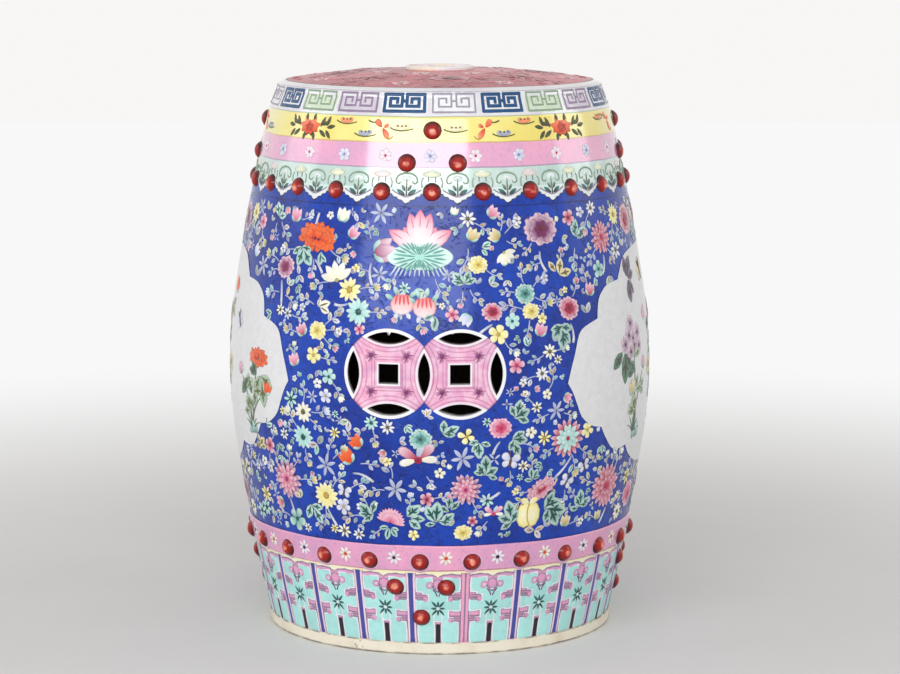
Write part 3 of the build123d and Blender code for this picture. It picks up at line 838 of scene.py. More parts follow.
grown = 0
for deg, z, reach in list(taken):
    for attempt in range(filler["sprigTries"] if reach > filler["bigReach"] else filler["stemTries"]):
        turn, length = hand.uniform(0, 360), hand.uniform(*filler["sprigLength"])
        start = shifted("flowers", (deg, z), *polar(turn, reach))
        half, tip = (shifted("flowers", start, *polar(turn, length * share)) for share in (0.45, 1.05))
        if openGround(*half, filler["sprigMiddle"]) and openGround(*tip, filler["sprigTip"]):
            sprig(start, turn, length)
            taken += [(*half, filler["middleTaken"]), (*tip, filler["tipTaken"])]
            grown += 1
print("sprigs grown:", grown)
filled = 0
for attempt in range(filler["tries"]):
    spot = (hand.uniform(-180, 180), hand.uniform(filler["low"], filler["high"]))
    reach = filler["reaches"][attempt * len(filler["reaches"]) // filler["tries"]]
    if openGround(*spot, reach):
        fillSprig(spot, reach * filler["spread"])
        taken.append((*spot, reach))
        filled += 1
print("ground filled with", filled, "sprigs")

# fret band under the rim, key pattern lines as shares of half a cell
fret = dict(cells=22, start=0.6, low=439.2, high=455.0, gap=0.5, overlap=2.6, margin=2.2)
fretLook = dict(blue=("fretBlue", "white", 2.7), grey=("fretGrey", "white", 1.5),
                green=("greenGrey", "greenPale", 1.5), mauve=("mauve", "fretPale", 1.7))
fretKey = (((-0.12, 1), (-1, 1)), ((-1, 1), (-1, -1)), ((-1, -1), (0, -1)), ((-0.12, 1), (-0.12, -0.4)),
           ((-0.12, -0.4), (-0.72, -0.4)), ((-0.72, -0.4), (-0.72, 0.5)), ((-0.72, 0.5), (-0.36, 0.5)),
           ((-0.36, 0.5), (-0.36, 0.05)), ((-0.12, 0.2), (0, 0.2)))
fretOrder = ("grey blue green mauve blue grey green blue mauve green blue "
             "grey blue green mauve blue green grey blue green mauve blue").split()


def fretCell(start, kind):
    line, ground, weight = fretLook[kind]
    middle, z = start + 180 / fret["cells"], (fret["low"] + fret["high"]) / 2
    k = mmPerDegree(z)
    pitch, tall = 360 / fret["cells"] * k, fret["high"] - fret["low"]
    dab("shoulder", "block", (middle, z), (pitch - fret["gap"], tall + fret["overlap"]), tint=ground,
        rise=0.12, line=0.35, ink="mauve")
    halfWide, halfTall = pitch / 2 - fret["margin"] - weight / 2, tall / 2 - weight / 2
    for side in (-1, 1):
        for a, b in fretKey:
            x, y = side * (a[0] + b[0]) / 2 * halfWide, (a[1] + b[1]) / 2 * halfTall
            size = abs(a[0] - b[0]) * halfWide + weight, abs(a[1] - b[1]) * halfTall + weight
            dab("shoulder", "block", (middle + x / k, z + y), size, tint=line, lift=0.16, rise=0.2,
                line=0.1)


for i, kind in enumerate(fretOrder):
    fretCell(fret["start"] + i * 360 / fret["cells"], kind)
print("fret cells:", fret["cells"])

# yellow band: jagged flowers, ribbons and small clouds
yellowBand = dict(height=426.0, flowers=(46.5, 137, -42, -132),
                  ribbons=((-14, 1), (18.2, -1), (166, 1), (198.2, -1), (75.5, 1), (104.5, -1),
                           (-75.5, 1), (-104.5, -1)),
                  clouds=((-8, 1.5, "ivory"), (9, 0.5, "ivory"), (-27, 6, "peach"), (32, 6, "peach"),
                          (-20, -3.5, "lilacGrey"), (24.5, -3.5, "lilacGrey"), (90, 2, "ivory"),
                          (68, 5, "peach"), (112, -3, "lilacGrey")))


def bandFlower(deg):
    at, zone = (deg, yellowBand["height"]), "shoulder"
    for side in (-1, 1):
        for turn, length, x, y in ((30, 10, 12, 0), (75, 9, 13, 2), (125, 10, 11, -2), (20, 9, 19, 1),
                                   (80, 9, 19, 0), (140, 9, 18, -2), (10, 7, 4, 4), (170, 7, 5, -4)):
            dab(zone, "leaf", shifted(zone, at, side * x, y), (3.6, length), side * turn, 0,
                tint=("oliveDark", "olive"), line=0.2, rise=0.3)
    dab(zone, "jagged", at, (3.0, 1.2), tint=("orange", "peach"), rise=0.3, lift=0.1, ink="rust")
    petals(zone, "notched", at, 5, 0.6, (5.6, 5), hand.uniform(0, 60), 0.7, tint=("rust", "orange"),
           lift=0.36, rise=0.2, ink="rust")


def ribbon(deg, side):
    at, zone = (deg, yellowBand["height"]), "shoulder"
    for x, y, turn, wide, tall in ((-1, 2, -42, 5.4, 8), (-0.4, 1.4, 148, 5, 9.6),
                                   (0.4, 1.8, 62, 3.4, 5)):
        dab(zone, "petal", shifted(zone, at, side * x, y), (wide, tall), side * turn, 0,
            tint=("orange", "peach"), ink="rust")
    stroke(zone, at, ((side * -13, 7.4), (side * -9, 4.6), (side * -5, 6.4)), 1.3, 1.0, tint="olive",
           line=0)
    stroke(zone, at, ((side * 3.4, -6.4), (side * 6, -8.4), (side * 8.6, -4.8)), 1.4, 1.0, tint="ochre",
           line=0.2)


def smallCloud(deg, lift, shade):
    at, zone = (deg, yellowBand["height"] + lift), "shoulder"
    for x, y, w in ((0, 0, 8), (3.8, 1.2, 5), (-3.8, 1, 4.6)):
        dab(zone, "dot", shifted(zone, at, x, y), (w, 4), tint=(shade, shade), rise=0.25, line=0.8,
            ink="olive")
    for x in (-3, 0.4, 3.6):
        dab(zone, "dot", shifted(zone, at, x, 1.6), (1.7, 1.7), tint="olive", lift=0.25, rise=0.1, line=0)
    stroke(zone, at, ((-9.5, 0.4), (-2, -4.2), (9.5, -0.4)), 1.1, 0.9, tint="olive", line=0, lift=0.1)


for deg in yellowBand["flowers"]:
    bandFlower(deg)
for deg, side in yellowBand["ribbons"]:
    ribbon(deg, side)
for facing in (0, 180):
    for deg, lift, shade in yellowBand["clouds"]:
        smallCloud(deg + facing, lift, shade)

# florets of the two pink bands
florets = dict(upperHeight=406.0, upperCount=26, upperStart=1.2, upperSize=10.5,
               lowerHeight=83.5, lowerCount=24, lowerStart=5.8, lowerSize=12.5)
families.update(whiteFloret=("lilac", "white", "mauve"), pinkFloret=("pinkPale", "white", "crimson"),
                inkFloret=("white", "white", "ink"), sunFloret=("cream", "white", "orange"))
for i in range(florets["upperCount"]):
    spot = (florets["upperStart"] + i * 360 / florets["upperCount"], florets["upperHeight"])
    family = "pinkFloret" if i % 2 else "whiteFloret"
    blossom("shoulder", spot, florets["upperSize"], family, hand.uniform(0, 50), 6)
for i in range(florets["lowerCount"]):
    spot = (florets["lowerStart"] + i * 360 / florets["lowerCount"], florets["lowerHeight"])
    family = "inkFloret" if i % 2 else "sunFloret"
    daisy("base", spot, florets["lowerSize"], family, hand.uniform(0, 40), 7)

# lappets between the shoulder bosses and small hoods over the bosses
lappets = dict(count=24, turn=1.8, middle=378.0, hood=391.6)
lappetScrolls = ((((0, 14.6), (9.4, 14.2), (8.6, 7.4)), 1.5, 1.2),
                 (((8.6, 7.4), (5.6, 5), (4.6, 8.2)), 1.2, 0.9),
                 (((12.6, 3.4), (11, 8.6), (13.6, 11)), 1.1, 0.8))


def lappet(deg):
    zone, at = "shoulder", (deg, lappets["middle"])
    dab(zone, "lappet", at, (2.12, 1.1), tint="ink", rise=0.08, line=0)
    dab(zone, "lappet", at, (2, 1), tint=("white", "tealPale"), rise=0.16, lift=0.05, line=0.4,
        ink="mauve")
    for side in (-1, 1):
        stroke(zone, at, ((side * 12, 1.6), (side * 6, -2.4), (0, -4.4)), 1.0, 1.0, tint="mauve",
               lift=0.14, line=0)
        dab(zone, "leaf", shifted(zone, at, side * 0.8, -3), (3.4, 8.6), side * 56, 0,
            tint=("black", "tealDeep"), lift=0.2, line=0)
        dab(zone, "leaf", shifted(zone, at, side * 1, 0.4), (2.4, 6), side * 30, 0,
            tint=("greenDark", "greenGrey"), lift=0.2, line=0)
        for line, wide, narrow in lappetScrolls:
            stroke(zone, at, [(side * x, y) for x, y in line], wide, narrow, tint="greenGrey", lift=0.1,
                   line=0.2)
    stroke(zone, at, ((0, -4), (0, 3), (0, 11)), 1.2, 0.9, tint=("black", "greenGrey"), lift=0.22, line=0)
    dab(zone, "dot", shifted(zone, at, 0, 10.4), (8.4, 5), tint=("white", "tealPale"), rise=0.25,
        line=0.5, ink="greenGrey")


def bossHood(deg, warm):
    zone, at = "shoulder", (deg, lappets["hood"])
    shade, fill = ("rose", "pinkPale") if warm else ("olive", "cream")
    dab(zone, "dot", at, (15, 5.4), tint=(fill, "greenPale"), rise=0.2, line=0.9, ink=shade)
    dab(zone, "dot", shifted(zone, at, 0, 2.2), (6.4, 2.6), tint=("tealPale", fill), rise=0.3, line=0.9,
        ink=shade)
    for x in (-2.8, 2.8):
        stroke(zone, at, ((x, -2), (x, -4), (x, -6)), 0.8, 0.7, tint=("umber", "greenGrey"), lift=0.05,
               line=0)


for i in range(lappets["count"]):
    middle = lappets["turn"] + 360 / lappets["count"] * i
    bossHood(middle, i % 3 == 2)
    lappet(middle + 180 / lappets["count"])
print("shoulder bands painted")

# base panels: archaic scrolls between upright bars, block by block as x, height, width and tallness in mm
panels = dict(count=22, start=-4.7, low=10.3, high=70.4, middle=40.0, arch=66.0, curl=60.0, hook=57.0,
              notches=(49.6, 31.2), tendril=50.0, foot=18.0,
              thinBar=((7.4, "mauve"), (6.2, "pink"), (1.4, "mauve")),
              wideBar=((8.6, "mauve"), (7.4, "pinkPale"), (4.0, "violet")))
panelBlocks = ((12.4, 60.4, 9.0, 11.6), (8.0, 64.4, 6.4, 4.0), (7.6, 55.0, 8.6, 5.0),
               (2.6, 50.6, 9.4, 10.0), (7.6, 42.4, 17.4, 7.4), (15.0, 42.6, 5.2, 9.2),
               (3.0, 34.4, 10.0, 11.0), (8.4, 28.4, 8.0, 6.0), (9.8, 18.8, 13.0, 18.0))
baseRow = dict(count=24, turn=-1.7, height=80.0)
layers = ((3.4, "mauve", 0.06), (2.2, "white", 0.14), (0.0, "panelTeal", 0.22))


def panelBar(left, thin):
    at = (left, (panels["low"] + panels["high"]) / 2)
    half = (panels["high"] - panels["low"]) / 2
    for level, (wide, shade) in enumerate(panels["thinBar" if thin else "wideBar"]):
        stroke("base", at, ((0, -half), (0, 0), (0, half)), wide, wide, tint=shade,
               lift=0.05 + 0.1 * level, rise=0.14, line=0.2, shape="longStrip")


def panel(left):
    zone = "base"
    middle = left + 180 / panels["count"]
    at = (middle, panels["middle"])
    for side in (-1, 1):   # pink arches that cut into the ivory line
        for wide, tall, shade, lift in ((22, 8.4, "mauve", 0.02), (21, 6.2, "bandPink", 0.08)):
            dab(zone, "dot", shifted(zone, (middle, panels["arch"]), side * 10.6, 0), (wide, tall),
                tint=shade, rise=0.1, lift=lift, line=0)
    for grow, shade, lift in layers:
        for x, z, wide, tall in panelBlocks:
            narrow = mmPerDegree(z) / mmPerDegree(panels["middle"])
            for side in (-1, 1):
                dab(zone, "block", (middle + side * x / mmPerDegree(panels["middle"]), z),
                    (wide * narrow + grow, tall + grow), tint=shade, lift=lift, rise=0.12, line=0.1,
                    ink="mauve")
    for side in (-1, 1):
        for z in panels["notches"]:   # striped pink notches with curled ends
            for step in (-2, 0, 2):
                stripe = [(side * x, 0) for x in (17.6, 14, 11.6 - abs(step))]
                stroke(zone, (middle, z + step), stripe, 1.0, 1.0, tint="mauve", lift=0.26, line=0.2,
                       ink="rose")
            dab(zone, "dot", shifted(zone, (middle, z - 1.6), side * 10.2, 0), (4.4, 4.6),
                tint=("pink", "bandPink"), lift=0.3, rise=0.15, line=0.95, ink="purple")
        curl = shifted(zone, (middle, panels["curl"]), side * 6.6, 0)
        dab(zone, "dot", curl, (6.6, 6.2), tint=("pink", "bandPink"), lift=0.32, rise=0.15, line=0.95,
            ink="purple")
        dab(zone, "dot", curl, (2.2, 2.2), tint=("panelTeal", "white"), lift=0.46, rise=0.1, line=0.9,
            ink="purple")
        stroke(zone, (middle, panels["hook"]), ((0, -3), (side * 4, 0), (side * 5, 4)), 1.4, 1.0,
               tint="mauve", lift=0.3)
        for turn, length in ((40, 7.4), (90, 5.2), (140, 7.4)):
            dab(zone, "leaf", at, (2.2, length), side * turn, 0.8, tint=("black", "tealDeep"), lift=0.32,
                rise=0.2, line=0)
        stroke(zone, (middle, panels["tendril"]), ((side * 0.6, 0), (side * 1.4, 4), (side * 4.4, 6.4)),
               1.0, 0.8, tint="purple", lift=0.3, line=0)
        stroke(zone, at, ((side * 2.4, -12), (side * 5, -7), (side * 1.4, -3)), 1.1, 0.9, tint="white",
               lift=0.3, rise=0.2, line=0)
    for turn in (0, 180):
        dab(zone, "leaf", at, (2.0, 5.6), turn, 0.8, tint=("black", "tealDeep"), lift=0.34, rise=0.2,
            line=0)
    dab(zone, "dot", at, (3.4, 3.4), tint=("white", "panelTeal"), lift=0.5, rise=0.1, line=0.8,
        ink="black")
    dab(zone, "block", (middle, panels["foot"]), (3.6, 17), tint="black", lift=0.3, rise=0.16, line=0)


for i in range(panels["count"]):
    left = panels["start"] + i * 360 / panels["count"]
    panel(left)
    panelBar(left, i % 11 == 1)
for i in range(baseRow["count"]):   # pale pools of glaze round the bosses
    spot = (baseRow["turn"] + i * 360 / baseRow["count"], baseRow["height"])
    dab("base", "dot", spot, (20, 19), tint=("pinkPale", "bandPink"), rise=0.12, line=0)
print("base panels:", panels["count"])

# florets on the coins, four to a coin
def coinFloret(facing, x, z):
    at = (facing + math.degrees(math.asin(x / float(wallRadius(z)))), z)
    for lean in (-64, 64, 180):
        stroke("coins", at, ((0, 0), polar(lean, 3.4), polar(lean + 22, 6.0)), 0.9, 0.6, tint="magenta",
               line=0.2)
    petals("coins", "petal", at, 5, 0.6, (3.4, coins["size"] / 2), 180, tint=("purple", "pink"), rise=0.3,
           ink="purple")
    dab("coins", "dot", at, (3.6, 3.6), tint="purple", lift=0.25, rise=0.3, ink="purple")


for facing in (0, 180):
    for side in (-1, 1):
        for dx, dz in ((-1, -1), (-1, 1), (1, -1), (1, 1)):
            coinFloret(facing, side * coins["pitch"] + dx * coins["corner"],
                       coins["height"] + dz * coins["corner"])

# seat: soft flowers and scrolls on the rose ground
seatRing = dict(flowers=8, reach=84.0, size=36.0, first=10.0, leafReach=17.0, leafSize=18.0,
                starSize=16.0, outerStar=110.0, innerStar=54.0, scrolls=((102.0, 9.0), (68.0, 12.0)),
                scrollBend=12.0, edgeReach=117.0, edgeLeaf=9.0)
families.update(seatBloom=("seatDeep", "seatPale", "maroon"),
                seatLeaf=("seatDeep", "seatPale", "seatDeep"), seatStar=("seatPale", "pinkPale", "ochre"))


def seatSpot(turn, reach):
    x, y = polar(turn, reach)
    return x, -y


for i in range(seatRing["flowers"]):
    turn = 360 * i / seatRing["flowers"] + seatRing["first"]
    spot, between = seatSpot(turn, seatRing["reach"]), turn + 180 / seatRing["flowers"]
    (chrysanthemum if i % 2 else peony)("seat", spot, seatRing["size"], "seatBloom", turn)
    for lean in (-120, 120, 60, -60):
        root = shifted("seat", spot, *polar(lean + turn, seatRing["leafReach"]))
        leafSpray("seat", root, seatRing["leafSize"], "seatLeaf", lean + turn)
    daisy("seat", seatSpot(between, seatRing["outerStar"]), seatRing["starSize"], "seatStar", 0, 10)
    blossom("seat", seatSpot(between, seatRing["innerStar"]), seatRing["starSize"], "seatStar", 0)
    for reach, span in seatRing["scrolls"]:
        corners = [seatSpot(between - span, reach), seatSpot(between, reach + seatRing["scrollBend"]),
                   seatSpot(between + span, reach)]
        spare = [(x - corners[0][0], y - corners[0][1]) for x, y in corners]
        stroke("seat", corners[0], spare, 1.8, 0.9, tint="seatPale", line=0.3, ink="seatDeep")
    for lean in (-8, 0, 8):
        root = seatSpot(turn + lean, seatRing["edgeReach"])
        leafSpray("seat", root, seatRing["edgeLeaf"], "seatLeaf", 180 - turn + lean * 6, 2)
print("coins and seat painted")


# sockets wrapped so that sums of nodes read as sums
class Wire:
    def __init__(self, recipe, socket):
        self.recipe, self.socket = recipe, socket

    def sum(self, how, a, b=None):
        return self.recipe.node("Math", {"operation": how}, {0: a} if b is None else {0: a, 1: b})

    def __add__(self, b):
        return self.sum("ADD", self, b)

    def __radd__(self, b):
        return self.sum("ADD", b, self)

    def __sub__(self, b):
        return self.sum("SUBTRACT", self, b)

    def __rsub__(self, b):
        return self.sum("SUBTRACT", b, self)

    def __mul__(self, b):
        return self.sum("MULTIPLY", self, b)

    def __rmul__(self, b):
        return self.sum("MULTIPLY", b, self)

    def __pow__(self, b):
        return self.sum("POWER", self, b)

    def __abs__(self):
        return self.sum("ABSOLUTE", self)


class Recipe:
    def __init__(self, owner):
        owner.use_nodes = True
        self.owner, self.nodes, self.links = owner, owner.node_tree.nodes, owner.node_tree.links

    def node(self, kind, settings, values, output=0):
        made = self.nodes.new("ShaderNode" + kind)
        for key, value in settings.items():
            setattr(made, key, value)
        for key, value in values.items():
            self.feed(made.inputs[key], value)
        return Wire(self, made.outputs[output])

    def feed(self, socket, value):
        if isinstance(value, Wire):
            self.links.new(value.socket, socket)
        else:
            socket.default_value = value

    def clamp(self, value):
        return self.node("Clamp", {}, {0: value})

    # 1 for rays that show the backdrop: seen straight, mirrored or through glass
    def backdropRays(self):
        kinds = ("Camera", "Glossy", "Transmission")
        return self.clamp(sum(self.node("LightPath", {}, {}, "Is %s Ray" % kind) for kind in kinds))


class Finish(Recipe):
    def __init__(self, name):
        super().__init__(bpy.data.materials.new(name))
        self.shader = self.nodes["Principled BSDF"]
        self.place = self.node("TexCoord", {}, {}, "Object")
        self.x, self.y, self.z = (self.node("SeparateXYZ", {}, {0: self.place}, i) for i in (0, 1, 2))

    def noise(self, scale, detail=3.0, rough=0.55, distortion=0.0):
        return self.node("TexNoise", {}, {"Vector": self.place, "Scale": scale, "Detail": detail,
                                          "Roughness": rough, "Distortion": distortion})

    def mix(self, share, a, b):
        low, high = (paint(c) if isinstance(c, str) else c for c in (a, b))
        return self.node("Mix", {"data_type": "RGBA"}, {0: share, 6: low, 7: high}, 2)

    # share that goes from 0 to 1 as value passes from low to high
    def ease(self, value, low, high):
        return self.node("MapRange", {"interpolation_type": "SMOOTHSTEP"},
                         {0: value, 1: low, 2: high, 3: 0.0, 4: 1.0})

    # two paints that pool into each other
    def pool(self, scale, a, b, low=0.35, high=0.68):
        return self.mix(self.ease(self.noise(scale), low, high), a, b)

    def line(self, value, at, half):
        return self.ease(abs(value - at), half, half * 0.4)

    def fromAxis(self):
        return (self.x * self.x + self.y * self.y) ** 0.5

    def greater(self, a, b):
        return self.node("Math", {"operation": "MAXIMUM"}, {0: a, 1: b})

    # how far a face looks away from the axis
    def outside(self):
        flat = self.node("VectorMath", {"operation": "MULTIPLY"}, {0: self.place, 1: (1.0, 1.0, 0.0)})
        way = self.node("VectorMath", {"operation": "NORMALIZE"}, {0: flat})
        facing = self.node("NewGeometry", {}, {}, "Normal")
        return self.node("VectorMath", {"operation": "DOT_PRODUCT"}, {0: way, 1: facing}, "Value")

    def bump(self, height, strength, distance):
        return self.node("Bump", {}, {"Height": height, "Strength": strength, "Distance": distance})

    def finish(self, colour, roughness, normal=None, **fixed):
        self.feed(self.shader.inputs["Base Color"], colour)
        self.feed(self.shader.inputs["Roughness"], roughness)
        if normal is not None:
            self.feed(self.shader.inputs["Normal"], normal)
        for key, value in fixed.items():
            self.shader.inputs[key.replace("_", " ")].default_value = value
        return self.owner


# painted shade: inside faces are painted dark brown, darker than bare clay, because the hollow lies in
# shade
def insideShade(r):
    return r.pool(420, "clayShadeAndDirt", "umber")


# short curls scratched into the blue ground
def scratched(r):
    curls = r.line(r.noise(78, 1, 0.5, 2.4), 0.5, 0.05)
    return curls * r.ease(r.noise(120, 2, 0.5, 1.0), 0.46, 0.56)


def cobaltColour(r, scratches):
    ground = r.mix(r.ease(r.noise(14, 4, 0.6), 0.35, 0.68), "cobalt", "cobaltPale")
    mottle = r.mix(r.ease(r.noise(160, 3), 0.42, 0.75) * 0.4, ground, "cobaltDeep")
    return r.mix(scratches * 0.6, mottle, "cobaltDeep")


# heights in metres between which the blue turns to ink under the lappets
cobaltCoat = dict(ink=(0.3655, 0.3665), inkShare=0.7, bump=0.0016)


def cobaltGlaze():
    r = Finish("cobalt_glaze")
    scratches = scratched(r)
    outer = r.ease(r.outside(), -0.1, 0.1)
    under = r.ease(r.z, *cobaltCoat["ink"]) * cobaltCoat["inkShare"]
    colour = r.mix(under, cobaltColour(r, scratches), "ink")
    colour = r.mix(outer, insideShade(r), colour)
    height = r.noise(22, 2) * 0.8 - scratches * 0.5 + r.noise(300, 2) * 0.04
    rough = 0.7 - outer * 0.55 + r.noise(60, 2) * 0.06
    return r.finish(colour, rough, r.bump(height, 0.4, cobaltCoat["bump"]), Specular_IOR_Level=0.4)


# pink ground with darker dust in it
def dusty(r):
    pink = r.pool(20, "bandPink", "pink")
    return r.mix(r.ease(r.noise(330, 3, 0.7), 0.5, 0.72) * 0.35, pink, "mauve")


# heights of the shoulder's bands in metres, and half the width of the line under each
shoulderBands = dict(teal=0.3775, pink=0.397, yellow=0.4165, fret=0.4366, rim=0.4558,
                     ledge=(0.4515, 0.4525), coat=(0.377, 0.378), soft=0.0003)
bandLines = dict(pink=("mauve", 0.0008), yellow=("ochre", 0.0007), fret=("greenGrey", 0.0006),
                 rim=("fretGrey", 0.0005))


def shoulderEnamel():
    r, b = Finish("shoulder_enamel"), shoulderBands
    z = r.z + (r.noise(40, 2) - 0.5) * 0.0012
    teal = r.pool(60, "bandTeal", "tealPale", 0.4, 0.8)
    colour = cobaltColour(r, scratched(r))
    grounds = dict(teal=teal, pink=dusty(r), yellow=r.pool(14, "bandYellow", "yellow"),
                   fret=r.pool(30, "milk", "fretPale", 0.35, 0.8))
    for band, upper in grounds.items():
        colour = r.mix(r.ease(z, b[band] - b["soft"], b[band] + b["soft"]), colour, upper)
    for band, (shade, half) in bandLines.items():
        colour = r.mix(r.line(z, b[band], half) * 0.8, colour, shade)
    shown = r.clamp(r.ease(r.outside(), -0.1, 0.1) + r.ease(r.z, *b["ledge"]))
    colour = r.mix(shown, insideShade(r), colour)
    rough = 0.7 - shown * 0.52 + r.noise(70, 2) * 0.06
    r.feed(r.shader.inputs["Coat Weight"], r.ease(z, *b["coat"]))
    return r.finish(colour, rough, r.bump(r.noise(24, 2), 0.3, 0.001), Specular_IOR_Level=0.4,
                    Coat_IOR=1.8, Coat_Roughness=0.12)


# heights in metres between which each ground of the base gives way to the next
baseBands = dict(ivory=(0.0662, 0.0666), pink=(0.0722, 0.0727), line=(0.0724, 0.0006), ink=(0.0936, 0.0941))


def baseEnamel():
    r = Finish("base_enamel")
    pinkGround = dusty(r)
    z = r.z + (r.noise(30, 2) - 0.5) * 0.001
    colour = r.mix(r.ease(z, *baseBands["ivory"]), pinkGround, r.pool(40, "ivory", "cream"))
    colour = r.mix(r.ease(z, *baseBands["pink"]), colour, pinkGround)
    colour = r.mix(r.line(z, *baseBands["line"]) * 0.7, colour, "rust")
    colour = r.mix(r.ease(z, *baseBands["ink"]), colour, "ink")
    outer = r.ease(r.outside(), -0.35, -0.2)
    colour = r.mix(outer, insideShade(r), colour)
    rough = 0.7 - outer * 0.5 + r.noise(80, 2) * 0.06
    return r.finish(colour, rough, r.bump(r.noise(30, 2), 0.3, 0.001), Coat_Weight=0.5,
                    Coat_Roughness=0.12)


# coins: pink ground and white rings, by distance from the coin's own middle and from its neighbours'
coinRings = dict(lens=(0.0355, 0.0351), rim=(0.033, 0.0334), square=(0.0096, 0.0091),
                 front=(0.1705, 0.172), nearLines=(0.036, 0.0394), ownLines=(0.0357,),
                 squareLines=(0.0136, 0.0112), lineHalf=0.0007)


def coinEnamel():
    r = Finish("coin_enamel")
    px, pz = abs(r.x) - coins["pitch"] / 1000, r.z - coins["height"] / 1000
    qx, qz = abs(px), abs(pz)
    apart = coins["pitch"] * 2 / 1000
    own = (px * px + pz * pz) ** 0.5
    beside, above = ((qx - apart) ** 2.0 + qz * qz) ** 0.5, (qx * qx + (qz - apart) ** 2.0) ** 0.5
    nearer = r.node("Math", {"operation": "MINIMUM"}, {0: beside, 1: above})
    lens = r.ease(nearer, *coinRings["lens"])
    ground = r.mix(r.ease(r.noise(120), 0.35, 0.7) * 0.6, r.pool(50, "bandPink", "pink"), "pinkPale")
    square = r.greater(qx, qz)
    for value, lines in ((nearer, "nearLines"), (own, "ownLines"), (square, "squareLines")):
        for at in coinRings[lines]:
            ground = r.mix(r.line(value, at, coinRings["lineHalf"]) * 0.4, ground, "magenta")
    colour = r.mix(lens * 0.7, ground, "white")
    colour = r.mix(lens * r.ease(own, *coinRings["rim"]), colour, "white")
    colour = r.mix(r.ease(square, *coinRings["square"]) * 0.9, colour, "white")
    front = r.ease(r.fromAxis(), *coinRings["front"])
    colour = r.mix(front, insideShade(r), colour)
    rough = 0.5 - front * 0.32 + r.noise(80, 2) * 0.06
    return r.finish(colour, rough, r.bump(r.noise(60), 0.3, 0.0008), Coat_Weight=0.5, Coat_Roughness=0.12)


def bossRed():
    r = Finish("boss_red")
    facing = r.outside()
    # painted shade: each boss is painted darker towards the edges of its dome
    colour = r.mix(r.ease(facing, 0.45, 0.99), "bossEdgeShade", "bossRed")
    # painted highlight: a pale spot painted on the crown of each boss
    colour = r.mix(r.ease(facing + r.noise(150, 2) * 0.2, 1.03, 1.13), colour, "bossPaintedHighlight")
    colour = r.mix(r.ease(r.noise(240), 0.5, 0.75) * 0.35, colour, "rust")
    return r.finish(colour, 0.14 + r.noise(90, 2) * 0.06, r.bump(r.noise(60, 1), 0.12, 0.0006),
                    Specular_IOR_Level=0.42)


# bare foot, dark at its glaze line and its sole with dirt and painted shade: heights in metres
footDirtAndShade = dict(line=(0.0099, 0.0012), sole=(0.0022, 0.0006))


def bareClay():
    r = Finish("bare_clay")
    grain, patch = r.noise(380, 4), r.noise(34, 4, 0.6)
    colour = r.mix(r.ease(patch, 0.45, 0.75) * 0.6, "clayPale", "clay")
    colour = r.mix(r.ease(grain, 0.66, 0.76) * 0.3, colour, "umber")
    chip = r.ease(r.noise(60, 3, 0.65), 0.66, 0.7)
    colour = r.mix(chip * 0.45, colour, "umber")
    # dirt and painted shade along the glaze line and along the sole next to the floor
    dirtShadeMask = r.clamp(r.line(r.z, *footDirtAndShade["line"]) + r.ease(r.z, *footDirtAndShade["sole"]))
    colour = r.mix(dirtShadeMask * r.ease(r.noise(90, 3), 0.35, 0.6) * 0.7, colour, "clayShadeAndDirt")
    return r.finish(colour, 0.6 + grain * 0.2, r.bump(grain * 0.6 + patch - chip * 0.3, 0.5, 0.0008))


# distances from the axis in metres: the seat's dark edge, then the ring and square of its coin
seatEdges = dict(dark=(0.1262, 0.1268), coinRing=(0.0252, 0.0258), coinSquare=(0.0088, 0.0082))


def seatEnamel():
    r = Finish("seat_enamel")
    pool, swirl = r.noise(16, 4, 0.6), r.noise(70, 4, 0.6, 1.2)
    colour = r.mix(r.ease(pool, 0.35, 0.68), "seat", "seatDeep")
    colour = r.mix(r.ease(swirl, 0.52, 0.7) * 0.5, colour, "seatPale")
    colour = r.mix(r.ease(r.fromAxis(), *seatEdges["dark"]), colour, "maroon")
    upward = r.node("SeparateXYZ", {}, {0: r.node("NewGeometry", {}, {}, "Normal")}, 2)
    colour = r.mix(r.ease(upward, -0.1, 0.1), insideShade(r), colour)
    return r.finish(colour, 0.2 + r.noise(80, 2) * 0.12, r.bump(swirl * 0.4 + pool, 0.3, 0.001),
                    Specular_IOR_Level=0.2)


def whiteGlaze():
    r = Finish("white_glaze")
    white = r.pool(50, "white", "ivory")
    ring, square = (seatEdges[edge] for edge in ("coinRing", "coinSquare"))
    colour = r.mix(r.ease(r.fromAxis(), *ring), r.pool(60, "pink", "bandPink"), white)
    colour = r.mix(r.ease(r.greater(abs(r.x), abs(r.y)), *square), colour, white)
    return r.finish(colour, 0.16 + r.noise(70, 2) * 0.08, r.bump(r.noise(80, 2), 0.3, 0.0008),
                    Coat_Weight=0.2, Coat_Roughness=0.1)


# what the brush marks' paint is multiplied by, where it lies thin and where it lies full
enamelWash = dict(thin=(0.92, 0.915, 0.925, 1), full=(1, 1, 1, 1), between=(0.34, 0.62))


def paintedEnamel():
    r = Finish("painted_enamel")
    tint = r.node("Attribute", {"attribute_name": "tint"}, {}, "Color")
    share = r.ease(r.noise(150) * 0.6 + r.noise(420, 2) * 0.4, *enamelWash["between"])
    wash = r.mix(share, enamelWash["thin"], enamelWash["full"])
    colour = r.node("Mix", {"data_type": "RGBA", "blend_type": "MULTIPLY"}, {0: 1.0, 6: tint, 7: wash}, 2)
    return r.finish(colour, 0.24 + r.noise(200, 2) * 0.12, r.bump(r.noise(420), 0.25, 0.0004),
                    Coat_Weight=0.1, Coat_Roughness=0.15)


